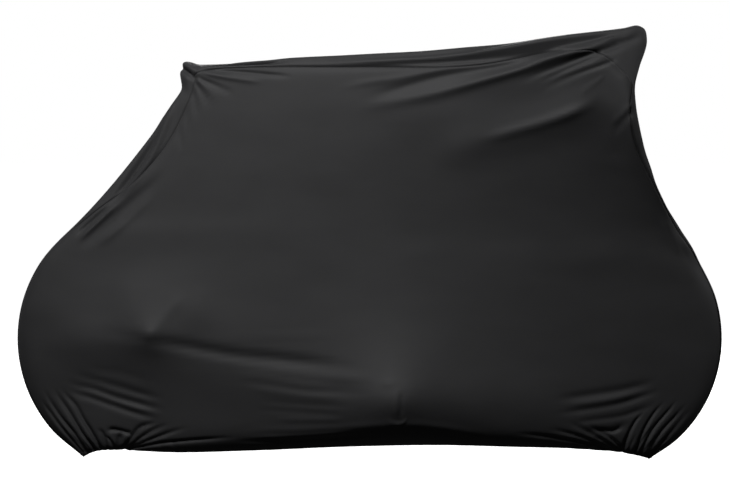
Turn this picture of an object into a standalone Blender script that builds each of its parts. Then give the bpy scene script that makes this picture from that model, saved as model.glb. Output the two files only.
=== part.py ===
"""A fitted bicycle cover of black stretch knit, in the shape in which it is worn.

Three pieces of cloth are sewn edge to edge: a panel on each side, and one centre strip that runs
from the rear hem up, along the top and down to the front hem. The cloth is stretched, so it runs
straight between the places that push it out from inside, with soft folds between them.

+X is forward, -Y is the near side and +Z is up. Tables are in millimetres, with heights over the
ground. The origin is on the cloth's inner face under the top, at TOP_INSIDE over the ground.
"""

import math
from collections import namedtuple

import bmesh
import bpy
import numpy as np

MM = 0.001  # metres

# ---------------------------------------------------------------- driving sizes, in millimetres
CLOTH_THICKNESS = 2.0
SEAM_INSET = 0.25  # each cut edge stands this far back from the seam line
TOP_INSIDE = 1004.8  # height of the origin over the ground

CELLS_ALONG = 46  # panel cells from the rear to the front
CELLS_UP = 30  # panel cells from the hem to the top
CLOSER_ALONG = 0.5  # how much closer the cells stand at both ends of each run
CLOSER_UP = 0.6

CLOTH_COLOUR = (0.022, 0.022, 0.023, 1.0)
CLOTH_ROUGHNESS = 0.72

# The round ends of the rim, from the hem corner to where the cloth leaves the round. The radius
# is given at the hem, half way and at the end.
Round = namedtuple("Round", "centre_x centre_z from_deg to_deg r_hem r_half r_end cuts")
REAR_ROUND = Round(-521, 334, 239.5, 127.0, 327, 322, 328, 7)
FRONT_ROUND = Round(487, 333, -56.5, 31.0, 343, 360, 359, 7)
ROUND_RIDGE = 5  # half width of the strip's crown on the rounds
ROUND_CROWN = 1  # the middle stands out by this much
ROUND_SEAM_HALF = 10
ROUND_SEAM_DROP = 2.5

# Sections of the strip between the rounds, from rear to front. The ridge is where the strip turns
# down to the side, at +-ridge_half. The middle dips below it. The seam lies at +-seam_half.
Section = namedtuple("Section", "ridge_x ridge_z ridge_half dip seam_x seam_z seam_half")
SECTIONS = {
    "rear span end": Section(-695, 619, 10, 0, -689, 614, 19),
    "rear span low": Section(-667, 647, 16, 0, -657, 639, 27),
    "rear span middle": Section(-582, 743, 24, 1, -552, 718, 42),
    "rear span high": Section(-492, 862, 36, 2, -459, 835, 58),
    "under the rear peak": Section(-444, 942, 45, 3, -416, 931, 69),
    "rear peak, back": Section(-446, 982, 36, 1, -412, 955, 73),
    "rear peak, top": Section(-435, 998, 38, 0, -409, 968, 74),
    "behind the top": Section(-405, 996, 48, 1, -396, 977, 75),
    "top start": Section(-374, 997, 60, 2, -373, 981, 78),
    "top at a sixth": Section(-303, 1001, 74, 4, -302, 985, 90),
    "top at a third": Section(-20, 1014, 121, 8, -20, 986, 136),
    "top past the middle": Section(257, 1030, 166, 10, 256, 989, 182),
    "top at three quarters": Section(443, 1049, 198, 10, 442, 1019, 214),
    "before the front peaks": Section(520, 1059, 208, 11, 514, 1017, 228),
    "front peaks, rear": Section(579, 1068, 212, 13, 545, 1002, 234),
    "front peaks": Section(617, 1074, 213, 17, 566, 983, 237),
    "front peaks, front": Section(632, 1065, 213, 20, 587, 963, 238),
    "front edge high": Section(637, 1043, 213, 22, 598, 948, 238),
    "front edge middle": Section(624, 997, 213, 22, 599, 924, 238),
    "front notch": Section(611, 940, 212, 20, 597, 897, 237),
    "front span high": Section(614, 895, 205, 18, 599, 863, 230),
    "front span middle": Section(642, 791, 155, 12, 624, 785, 178),
    "front span low": Section(685, 697, 101, 8, 675, 697, 118),
    "front span end": Section(742, 603, 42, 2, 735, 599, 54),
    "front round start": Section(777, 552, 20, 0, 772, 550, 30),
}
REAR_CORNER = "rear peak, top"  # the panel's upper corners lie on these sections
FRONT_CORNER = "front peaks, front"
QUARTER_DIP = 0.75  # share of the dip that is reached half way from the ridge to the middle
SIDE_BULGE = 0.6  # the side of the strip stands out, as far up and as far out, by this share

# The hem of one panel between its two corners. The belly is how far the cloth swells out again
# above the elastic, and the turn is the height over which the cloth comes in to the hem.
HemPoint = namedtuple("HemPoint", "x z half belly turn")
HEM = (
    HemPoint(-662, 65, 20, 4, 12),
    HemPoint(-572, 76, 26, 10, 12),
    HemPoint(-484, 70, 32, 14, 13),
    HemPoint(-283, 72, 40, 24, 16),
    HemPoint(-44, 84, 46, 34, 22),
    HemPoint(170, 88, 48, 38, 24),
    HemPoint(350, 82, 40, 34, 19),
    HemPoint(485, 76, 32, 24, 15),
    HemPoint(551, 71, 27, 14, 12),
    HemPoint(625, 61, 20, 5, 12),
)
EDGE_WAVES = 12  # how many waves an edge's shape is split into
BELLY_REACH = 42  # height over which the belly fills out
SHOULDER = 8  # the panel swells by this much beside the narrow part of the strip
SHOULDER_REACH = 15
NARROW_HALF = 30  # strip half width over which the shoulder dies out
PIN_REACH = 12  # the cloth stays on the seam over about this distance

# Places where the cloth is pushed out from inside. Stretched cloth falls away from such a tip
# steeply at first and then ever more gently, out to about the reach.
Point = namedtuple("Point", "x z lift reach tip")
NEAR_POINTS = {
    "low point": Point(64, 206, 112, 600, 34),
    "rear point": Point(-514, 359, 42, 260, 14),
    "elbow": Point(504, 903, 8, 200, 30),
}
FAR_POINTS = {
    "low point": Point(-240, 325, 140, 600, 20),
    "rear point": Point(-491, 340, 10, 260, 16),
    "elbow": Point(504, 903, 9, 200, 30),
}

# Main folds, as soft ridges (height over 0) and troughs (under 0) from one end to the other by
# way of a middle point. They fade out at both ends.
FOLD_ENDS = 0.12  # a fold keeps a little of its height at its ends
Fold = namedtuple("Fold", "x0 z0 x1 z1 x2 z2 height half_width")
NEAR_FOLDS = {
    "rear lean": Fold(-800, 349, -514, 352, -200, 308, 22, 125),
    "low lean": Fold(-360, 292, 64, 232, 480, 217, 15, 120),
    "lower turn, rear": Fold(-770, 333, -600, 349, -400, 335, 9, 46),
    "lower turn": Fold(-400, 296, 64, 210, 600, 184, 9, 55),
    "swell over the rear point": Fold(-630, 431, -514, 440, -340, 412, 4, 50),
    "swell under the top": Fold(0, 870, 165, 866, 330, 890, 9, 50),
    "elbow turn": Fold(150, 782, 350, 838, 540, 912, 14, 42),
    "elbow crest": Fold(235, 810, 396, 852, 530, 904, 7, 18),
    "peak ridge": Fold(60, 904, 347, 977, 600, 1056, 8, 16),
    "peak trough": Fold(345, 948, 482, 1002, 620, 1050, -9, 15),
    "thumb crease": Fold(606, 896, 580, 868, 552, 838, -4, 16),
    "level trough": Fold(-530, 342, -312, 309, 10, 281, -10, 18),
    "low trough": Fold(-320, 250, -180, 235, 10, 226, -4, 14),
    "low trough, lower": Fold(-260, 190, -150, 185, -40, 184, -3, 16),
    "rear low fold, upper": Fold(-712, 261, -610, 234, -490, 203, -5, 14),
    "rear low fold, lower": Fold(-730, 236, -620, 203, -490, 165, -6, 14),
    "rear gather, outer": Fold(-785, 200, -725, 118, -670, 50, -8, 14),
    "rear gather, inner": Fold(-740, 224, -684, 130, -634, 45, -9, 14),
    "rear fan": Fold(-480, 146, -548, 112, -604, 52, -7, 14),
    "front low fold, upper": Fold(440, 203, 550, 214, 690, 241, -5, 14),
    "front low fold": Fold(440, 169, 560, 183, 700, 219, -7, 14),
    "front low fold, lower": Fold(480, 145, 570, 155, 685, 185, -5, 13),
    "front gather, outer": Fold(775, 184, 718, 110, 660, 35, -8, 14),
    "front gather, inner": Fold(725, 186, 670, 112, 638, 38, -9, 14),
    "front fan": Fold(480, 145, 545, 110, 612, 50, -7, 14),
    "rear span trough": Fold(-415, 800, -553, 690, -690, 566, -5, 14),
    "peak fold": Fold(-424, 974, -377, 943, -318, 906, -4, 12),
    "front span fold": Fold(690, 641, 716, 592, 752, 545, 4, 14),
}
FAR_FOLDS = {
    "lower turn, middle": Fold(-540, 332, -320, 344, -100, 306, 8, 52),
    "lower turn": Fold(-180, 306, 240, 220, 600, 192, 8, 55),
    "swell under the top": Fold(0, 870, 165, 866, 330, 890, 9, 50),
    "elbow turn": Fold(150, 788, 370, 842, 540, 908, 14, 42),
    "elbow crest": Fold(255, 817, 400, 852, 510, 892, 5, 18),
    "peak ridge": Fold(40, 902, 347, 976, 600, 1056, 8, 16),
    "peak trough": Fold(345, 948, 482, 1000, 620, 1048, -8, 15),
    "level trough": Fold(-550, 336, -400, 334, -265, 327, -8, 16),
    "front trough": Fold(-205, 317, -20, 300, 210, 288, -7, 17),
    "slant trough": Fold(-225, 300, -120, 220, -30, 140, -5, 16),
    "rear low fold, upper": Fold(-705, 229, -610, 200, -490, 170, -5, 14),
    "rear low fold, lower": Fold(-700, 202, -610, 170, -500, 144, -5, 14),
    "rear gather, outer": Fold(-785, 200, -722, 112, -660, 45, -8, 14),
    "rear gather, inner": Fold(-740, 222, -684, 130, -634, 45, -8, 14),
    "rear fan": Fold(-480, 144, -548, 112, -604, 52, -6, 14),
    "front low fold": Fold(460, 169, 570, 180, 695, 213, -6, 14),
    "front low fold, lower": Fold(495, 137, 580, 145, 650, 166, -5, 13),
    "front gather, outer": Fold(775, 180, 712, 104, 660, 32, -8, 14),
    "front gather, inner": Fold(722, 190, 668, 116, 634, 38, -8, 14),
    "front fan": Fold(480, 140, 550, 108, 612, 50, -6, 14),
    "rear span trough": Fold(-415, 800, -540, 700, -690, 570, -5, 14),
    "front span fold": Fold(688, 650, 718, 596, 748, 530, 4, 14),
}


# ------------------------------------------------------------------------------- curve helpers
def unit(vectors):
    """Vectors at length one."""
    return vectors / np.maximum(np.linalg.norm(vectors, axis=-1, keepdims=True), 1e-12)


def running_share(points):
    """How far along a run of points each one lies, from 0 to 1."""
    steps = np.linalg.norm(np.diff(points, axis=0), axis=1)
    return np.concatenate(([0.0], np.cumsum(steps))) / steps.sum()


def curve_through(share, rows, at):
    """A smooth cubic through rows that stand at the given shares, read at `at`."""
    slopes = np.gradient(rows, share, axis=0)
    span = np.clip(np.searchsorted(share, at, side="right") - 1, 0, len(share) - 2)
    length = (share[span + 1] - share[span])[:, None]
    t = (at - share[span])[:, None] / length
    start, end = rows[span], rows[span + 1]
    start_slope, end_slope = slopes[span] * length, slopes[span + 1] * length
    return (
        start * (1 + 2 * t) * (1 - t) ** 2
        + start_slope * t * (1 - t) ** 2
        + end * t**2 * (3 - 2 * t)
        - end_slope * t**2 * (1 - t)
    )


def closer_at_ends(cells, share):
    """Steps from 0 to 1 that are closer together at both ends."""
    s = np.linspace(0.0, 1.0, cells + 1)
    return s - share * np.sin(2 * math.pi * s) / (2 * math.pi)


def distance_to_path(x, z, path):
    """Distance from each point to a path of straight runs, and the share of the path there."""
    path = np.array(path, float)
    lengths = np.linalg.norm(np.diff(path, axis=0), axis=1)
    best = np.full(x.shape, np.inf)
    share = np.zeros(x.shape)
    for k, length in enumerate(lengths):
        along = (path[k + 1] - path[k]) / length
        run = np.clip((x - path[k, 0]) * along[0] + (z - path[k, 1]) * along[1], 0, length)
        gap = np.hypot(x - path[k, 0] - run * along[0], z - path[k, 1] - run * along[1])
        closer = gap < best
        best = np.where(closer, gap, best)
        share = np.where(closer, (lengths[:k].sum() + run) / lengths.sum(), share)
    return best, share


# --------------------------------------------------------------------------- the centre strip
def round_sections(end):
    """Strip sections on one round end, from the hem corner on."""
    sections = []
    for share in np.linspace(0.0, 1.0, end.cuts):
        angle = math.radians(end.from_deg + (end.to_deg - end.from_deg) * share)
        radius = (
            end.r_hem * (1 - share) * (1 - 2 * share)
            + end.r_half * 4 * share * (1 - share)
            + end.r_end * share * (2 * share - 1)
        )
        out_x, out_z = math.cos(angle), math.sin(angle)
        sections.append(Section(
            ridge_x=end.centre_x + radius * out_x,
            ridge_z=end.centre_z + radius * out_z,
            ridge_half=ROUND_RIDGE,
            dip=-ROUND_CROWN,
            seam_x=end.centre_x + (radius - ROUND_SEAM_DROP) * out_x,
            seam_z=end.centre_z + (radius - ROUND_SEAM_DROP) * out_z,
            seam_half=ROUND_SEAM_HALF,
        ))
    return sections


def strip_sections():
    """All sections from the rear hem to the front hem, and the rows of the panel's corners."""
    rear = round_sections(REAR_ROUND)
    front = round_sections(FRONT_ROUND)[::-1]
    names = list(SECTIONS)
    rows = np.array(rear + list(SECTIONS.values()) + front, float)
    return rows, len(rear) + names.index(REAR_CORNER), len(rear) + names.index(FRONT_CORNER)


def strip_grid():
    """The strip's outer face as a grid: stations along it, nine points across it."""
    rows, rear_corner, front_corner = strip_sections()
    share = running_share(rows[:, :2])
    up = closer_at_ends(CELLS_UP, CLOSER_UP)
    along = closer_at_ends(CELLS_ALONG, CLOSER_ALONG)
    at = np.concatenate((
        share[rear_corner] * up,
        share[rear_corner] + (share[front_corner] - share[rear_corner]) * along[1:],
        share[front_corner] + (1 - share[front_corner]) * up[1:],
    ))
    ridge_x, ridge_z, ridge_half, dip, seam_x, seam_z, seam_half = curve_through(share, rows, at).T
    run = unit(np.gradient(np.stack((ridge_x, ridge_z), axis=1), axis=0))
    middle_x, middle_z = ridge_x + dip * run[:, 1], ridge_z - dip * run[:, 0]

    middle = np.stack((middle_x, 0 * ridge_half, middle_z), axis=1)
    ridge = np.stack((ridge_x, ridge_half, ridge_z), axis=1)
    seam = np.stack((seam_x, seam_half, seam_z), axis=1)
    quarter = ridge + QUARTER_DIP * (middle - ridge)
    quarter[:, 1] = 0.5 * ridge_half
    side = seam + SIDE_BULGE * (ridge - seam)
    side[:, 1] = ridge_half + SIDE_BULGE * (seam_half - ridge_half)
    half_section = (middle, quarter, ridge, side, seam)
    mirror = np.array((1, -1, 1))
    near = [points * mirror for points in half_section[:0:-1]]
    return np.stack(near + list(half_section), axis=1)


# ------------------------------------------------------------------------------ the side panels
def blended_patch(bottom, top, left, right, u, v):
    """The surface between four edge curves that share their corners."""
    u, v = u[:, None, None], v[None, :, None]
    ruled = (1 - v) * bottom[:, None] + v * top[:, None] + (1 - u) * left[None] + u * right[None]
    corners = (
        (1 - u) * (1 - v) * bottom[0]
        + u * (1 - v) * bottom[-1]
        + (1 - u) * v * top[0]
        + u * v * top[-1]
    )
    return ruled - corners


def taut_waves(edge, along, away, depth):
    """How an edge's own shape dies out in taut cloth, wave by wave. Depth is in edge lengths."""
    rise = edge - edge[0] - (edge[-1] - edge[0]) * along
    settled = 0.0
    for n in range(1, EDGE_WAVES + 1):
        wave = np.sin(n * math.pi * along)
        product = rise * wave
        size = ((product[1:] + product[:-1]) * np.diff(along)).sum()
        k = n * math.pi * depth
        fall = np.exp(-k * away) * (1 - np.exp(-2 * k * (1 - away))) / (1 - math.exp(-2 * k))
        settled = settled + size * wave[:, None] * fall[None, :]
    return settled


def taut_patch(bottom, top, left, right, u, v):
    """A patch whose width follows a film drawn taut between its edges."""
    long = 0.5 * (np.ptp(bottom[:, 0]) + np.ptp(top[:, 0]))
    high = 0.5 * (np.ptp(left[:, 2]) + np.ptp(right[:, 2]))
    rear_width = (1 - v) * left[0, 1] + v * left[-1, 1]
    front_width = (1 - v) * right[0, 1] + v * right[-1, 1]
    film = (
        (1 - u)[:, None] * rear_width
        + u[:, None] * front_width
        + taut_waves(bottom[:, 1], u, v, high / long)
        + taut_waves(top[:, 1], u, 1 - v, high / long)
        + taut_waves(left[:, 1], v, u, long / high).T
        + taut_waves(right[:, 1], v, 1 - u, long / high).T
    )
    rest = [edge.copy() for edge in (bottom, top, left, right)]
    for edge, settled in zip(rest, (film[:, 0], film[:, -1], film[0], film[-1])):
        edge[:, 1] -= settled
    patch = blended_patch(*rest, u, v)
    patch[..., 1] += film
    return patch


def panel_grid(seam, points, folds):
    """A panel's outer face from its seam line: cells along it and up it, with half widths in Y."""
    left = seam[: CELLS_UP + 1]
    top = seam[CELLS_UP : CELLS_UP + CELLS_ALONG + 1]
    right = seam[CELLS_UP + CELLS_ALONG :][::-1]
    u, v = running_share(top), 0.5 * (running_share(left) + running_share(right))

    rear_end = (*left[0, (0, 2)], ROUND_SEAM_HALF, 0, PIN_REACH)
    front_end = (*right[0, (0, 2)], ROUND_SEAM_HALF, 0, PIN_REACH)
    hem_rows = np.array((rear_end, *HEM, front_end), float)
    hem = curve_through(running_share(hem_rows[:, :2]), hem_rows, u)
    grid = taut_patch(hem[:, (0, 2, 1)], top, left, right, u, v)

    x, z = grid[..., 0], grid[..., 2]
    swell = np.zeros(x.shape)
    above_hem = np.hypot(x - x[:, :1], z - z[:, :1])
    swell += hem[:, 3:4] * (1 - np.exp(-above_hem / BELLY_REACH)) * (1 - v[None]) ** 2
    for edge in (0, -1):
        narrow = np.exp(-(grid[edge, :, 1] - ROUND_SEAM_HALF) / NARROW_HALF)
        gap = np.hypot(x - x[edge], z - z[edge])
        far_edge = u[:, None] if edge == 0 else 1 - u[:, None]
        swell += SHOULDER * narrow * (1 - np.exp(-gap / SHOULDER_REACH)) * (1 - far_edge) ** 2
    for point in points.values():
        gap = np.hypot(np.hypot(x - point.x, z - point.z), point.tip)
        share = np.log1p((point.reach / gap) ** 2) / math.log1p((point.reach / point.tip) ** 2)
        swell += point.lift * share
    for fold in folds.values():
        path = ((fold.x0, fold.z0), (fold.x1, fold.z1), (fold.x2, fold.z2))
        gap, along = distance_to_path(x, z, path)
        fade = np.sin(math.pi * (FOLD_ENDS + (1 - 2 * FOLD_ENDS) * along))
        swell += fold.height * np.exp(-((gap / fold.half_width) ** 2)) * fade

    # the edges stay on the seam and on the hem
    from_seam = np.minimum.reduce((
        np.hypot(x - x[:1], z - z[:1]),
        np.hypot(x - x[-1:], z - z[-1:]),
        np.hypot(x - x[:, -1:], z - z[:, -1:]),
    ))
    pinned = (1 - np.exp(-from_seam / PIN_REACH)) * (1 - np.exp(-above_hem / hem[:, 4:5]))
    grid[..., 1] += swell * pinned
    return grid


# ------------------------------------------------------------------------------- cloth to solid
def grid_normals(grid):
    """Normals of a grid of points, on the side of (along x across)."""
    return unit(np.cross(np.gradient(grid, axis=0), np.gradient(grid, axis=1)))


def panel_edge(cells_along, cells_up):
    """Panel indices along its seam, from the rear hem corner over the top to the front one."""
    rear = [(0, j) for j in range(cells_up)]
    top = [(i, cells_up) for i in range(cells_along)]
    front = [(cells_along, j) for j in range(cells_up, -1, -1)]
    return tuple(np.array(rear + top + front).T)


def step_back(grid, edge, inner):
    """Moves edge points back from the seam, square to it and towards the points inside them."""
    along_seam = unit(np.gradient(grid[edge], axis=0))
    inward = grid[inner] - grid[edge]
    inward -= (inward * along_seam).sum(axis=1, keepdims=True) * along_seam
    grid[edge] += SEAM_INSET * unit(inward)


def cloth_solid(name, grid, normals, material, turned=False):
    """A closed sheet of cloth from its outer face, which `turned` looks the other way."""
    rows, columns = grid.shape[:2]
    inner = grid - CLOTH_THICKNESS * normals
    mesh = bpy.data.meshes.new(name)
    bm = bmesh.new()
    shift = np.array((0, 0, TOP_INSIDE))
    outer_verts, inner_verts = [
        [[bm.verts.new((point - shift) * MM) for point in line] for line in face]
        for face in (grid, inner)
    ]

    def add(a, b, c, d):
        bm.faces.new((d, c, b, a) if turned else (a, b, c, d))

    for i in range(rows - 1):
        for j in range(columns - 1):
            loop = ((i, j), (i + 1, j), (i + 1, j + 1), (i, j + 1))
            add(*(outer_verts[p][q] for p, q in loop))
            add(*(inner_verts[p][q] for p, q in loop[::-1]))
    border = (
        [(i, 0) for i in range(rows - 1)]
        + [(rows - 1, j) for j in range(columns - 1)]
        + [(i, columns - 1) for i in range(rows - 1, 0, -1)]
        + [(0, j) for j in range(columns - 1, 0, -1)]
    )
    for (i, j), (p, q) in zip(border, border[1:] + border[:1]):
        add(outer_verts[p][q], outer_verts[i][j], inner_verts[i][j], inner_verts[p][q])
    bm.to_mesh(mesh)
    bm.free()
    mesh.shade_smooth()
    mesh.materials.append(material)
    solid = bpy.data.objects.new(name, mesh)
    bpy.context.collection.objects.link(solid)
    return solid


def knit_material(name):
    """Matt black stretch knit."""
    material = bpy.data.materials.new(name)
    material.use_nodes = True
    shader = material.node_tree.nodes["Principled BSDF"]
    shader.inputs["Base Color"].default_value = CLOTH_COLOUR
    shader.inputs["Roughness"].default_value = CLOTH_ROUGHNESS
    shader.inputs["Metallic"].default_value = 0.0
    return material


def main():
    for old in list(bpy.data.objects):
        bpy.data.objects.remove(old, do_unlink=True)

    strip = strip_grid()
    strip_normals = grid_normals(strip)
    edge = panel_edge(CELLS_ALONG, CELLS_UP)
    inner = (
        np.clip(edge[0], 1, CELLS_ALONG - 1),
        np.clip(edge[1], 1, CELLS_UP - 1),
    )
    cover = bpy.data.objects.new("cover", None)
    bpy.context.collection.objects.link(cover)
    sides = (
        ("near_panel", 0, -1, NEAR_POINTS, NEAR_FOLDS),
        ("far_panel", -1, 1, FAR_POINTS, FAR_FOLDS),
    )
    for name, seam_column, side, points, folds in sides:
        mirror = np.array((1, side, 1))
        grid = panel_grid(strip[:, seam_column] * mirror, points, folds) * mirror
        normals = -side * grid_normals(grid)
        shared = unit(normals[inner] + strip_normals[:, seam_column])
        normals[edge] = shared
        strip_normals[:, seam_column] = shared
        step_back(grid, edge, inner)
        panel = cloth_solid(name, grid, normals, knit_material(name), turned=side > 0)
        panel.parent = cover
    everywhere = np.arange(len(strip))
    step_back(strip, (everywhere, 0), (everywhere, 1))
    step_back(strip, (everywhere, -1), (everywhere, -2))
    cloth_solid("centre_strip", strip, strip_normals, knit_material("centre_strip")).parent = cover


main()
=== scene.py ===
"""Looks of a fitted bicycle cover: black stretch knit, sewn from two side panels and a centre strip.

The cloth is worn taut. It runs straight between the places that push it out from inside, in long
soft folds, and is gathered on elastic at both ends of its hem. Tables are in millimetres, with
heights over the ground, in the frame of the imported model.
"""
import math
from collections import namedtuple

import bpy
import numpy as np
from bpy.props import FloatProperty, FloatVectorProperty, IntProperty, PointerProperty
from bpy.types import Operator, Panel, PropertyGroup
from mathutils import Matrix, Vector


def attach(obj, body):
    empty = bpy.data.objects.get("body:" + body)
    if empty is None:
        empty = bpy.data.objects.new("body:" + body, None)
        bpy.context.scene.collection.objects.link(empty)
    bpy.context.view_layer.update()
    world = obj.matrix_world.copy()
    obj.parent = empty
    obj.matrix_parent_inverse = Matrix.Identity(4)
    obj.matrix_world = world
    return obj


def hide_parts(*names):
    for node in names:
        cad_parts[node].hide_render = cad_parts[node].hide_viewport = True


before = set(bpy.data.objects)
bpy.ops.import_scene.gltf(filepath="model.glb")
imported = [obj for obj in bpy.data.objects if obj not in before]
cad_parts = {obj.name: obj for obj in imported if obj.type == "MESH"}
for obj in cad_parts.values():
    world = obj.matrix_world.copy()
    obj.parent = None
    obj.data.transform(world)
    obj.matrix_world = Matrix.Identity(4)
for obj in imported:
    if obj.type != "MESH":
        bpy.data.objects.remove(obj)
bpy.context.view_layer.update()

bl_info = {
    "name": "Fitted bicycle cover",
    "version": (1, 0, 0),
    "blender": (4, 5, 0),
    "location": "3D View > Sidebar > Cover",
    "description": "Stretch-knit cover with its folds, gathered hem, seams, stitches and stage",
    "category": "Object",
}

MM = 0.001  # metres
TOP_INSIDE = 1004.8  # height of the frame's origin over the ground

# ----------------------------------------------------------------------------- shape of the cover
# The round ends of the rim, from the hem corner to where the cloth leaves the round. The radius
# is given at the hem, half way and at the end.
Round = namedtuple("Round", "centre_x centre_z from_deg to_deg r_hem r_half r_end cuts")
REAR_ROUND = Round(-521, 334, 239.5, 127.0, 327, 322, 328, 7)
FRONT_ROUND = Round(487, 333, -56.5, 31.0, 343, 360, 359, 7)
ROUND_RIDGE = 5  # half width of the flat of the strip on a round
ROUND_CROWN = 1  # rise of its middle
ROUND_SEAM_HALF = 10  # the seam's place at either side
ROUND_SEAM_DROP = 2.5  # how far the seam lies inside the round

# Sections of the strip between the rounds, from rear to front. The ridge is where the strip turns
# down to the side, at +-ridge_half. The middle dips below it. The seam lies at +-seam_half.
Section = namedtuple("Section", "ridge_x ridge_z ridge_half dip seam_x seam_z seam_half")
SECTIONS = {
    "rear span end": Section(-695, 619, 10, 0, -689, 614, 19),
    "rear span low": Section(-667, 647, 16, 0, -657, 639, 27),
    "rear span middle": Section(-582, 743, 24, 1, -552, 718, 42),
    "rear span high": Section(-492, 862, 36, 2, -459, 835, 58),
    "under the rear peak": Section(-444, 942, 45, 3, -416, 931, 69),
    "rear peak, back": Section(-446, 982, 36, 1, -412, 955, 73),
    "rear peak, top": Section(-435, 998, 38, 0, -409, 968, 74),
    "behind the top": Section(-405, 996, 48, 1, -396, 977, 75),
    "top start": Section(-374, 997, 60, 2, -373, 981, 78),
    "top at a sixth": Section(-303, 1001, 74, 4, -302, 985, 90),
    "top at a third": Section(-20, 1014, 121, 8, -20, 986, 136),
    "top past the middle": Section(257, 1030, 166, 10, 256, 989, 182),
    "top at three quarters": Section(443, 1049, 198, 10, 442, 1019, 214),
    "before the front peaks": Section(520, 1059, 208, 11, 514, 1017, 228),
    "front peaks, rear": Section(579, 1068, 212, 13, 545, 1002, 234),
    "front peaks": Section(617, 1074, 213, 17, 566, 983, 237),
    "front peaks, front": Section(632, 1065, 213, 20, 587, 963, 238),
    "front edge high": Section(637, 1043, 213, 22, 598, 948, 238),
    "front edge middle": Section(624, 997, 213, 22, 599, 924, 238),
    "front notch": Section(611, 940, 212, 20, 597, 897, 237),
    "front span high": Section(614, 895, 205, 18, 599, 863, 230),
    "front span middle": Section(642, 791, 155, 12, 624, 785, 178),
    "front span low": Section(685, 697, 101, 8, 675, 697, 118),
    "front span end": Section(742, 603, 42, 2, 735, 599, 54),
    "front round start": Section(777, 552, 20, 0, 772, 550, 30),
}
REAR_CORNER = "rear peak, top"  # upper corners of the side panels
FRONT_CORNER = "front peaks, front"

# Points of the hem: half is its place at either side, belly is how far the cloth fills out above
# it, and turn is the height over which it turns in.
HemPoint = namedtuple("HemPoint", "x z half belly turn")
HEM = (
    HemPoint(-662, 65, 20, 4, 12),
    HemPoint(-572, 70, 26, 10, 12),
    HemPoint(-484, 67, 32, 14, 13),
    HemPoint(-283, 72, 40, 24, 16),
    HemPoint(-44, 84, 55, 34, 22),
    HemPoint(170, 88, 58, 38, 24),
    HemPoint(350, 82, 47, 34, 19),
    HemPoint(485, 76, 32, 24, 15),
    HemPoint(551, 71, 27, 14, 12),
    HemPoint(625, 61, 20, 5, 12),
)
BELLY_REACH = 42  # height over which the belly fills out
SHOULDER = 8  # the panel swells by this much beside the narrow part of the strip
SHOULDER_REACH = 15

# Places where the cloth is pushed out from inside, each by its lift, over its reach and round its
# tip.
Point = namedtuple("Point", "x z lift reach tip")
NEAR_POINTS = {
    "low point": Point(64, 206, 93, 600, 60),
    "rear point": Point(-514, 359, 42, 260, 15),
    "elbow": Point(504, 903, 8, 200, 30),
}
FAR_POINTS = {
    "low point": Point(-240, 325, 140, 600, 16),
    "rear point": Point(-491, 340, 12, 260, 12),
    "elbow": Point(504, 903, 9, 200, 30),
}

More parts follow.
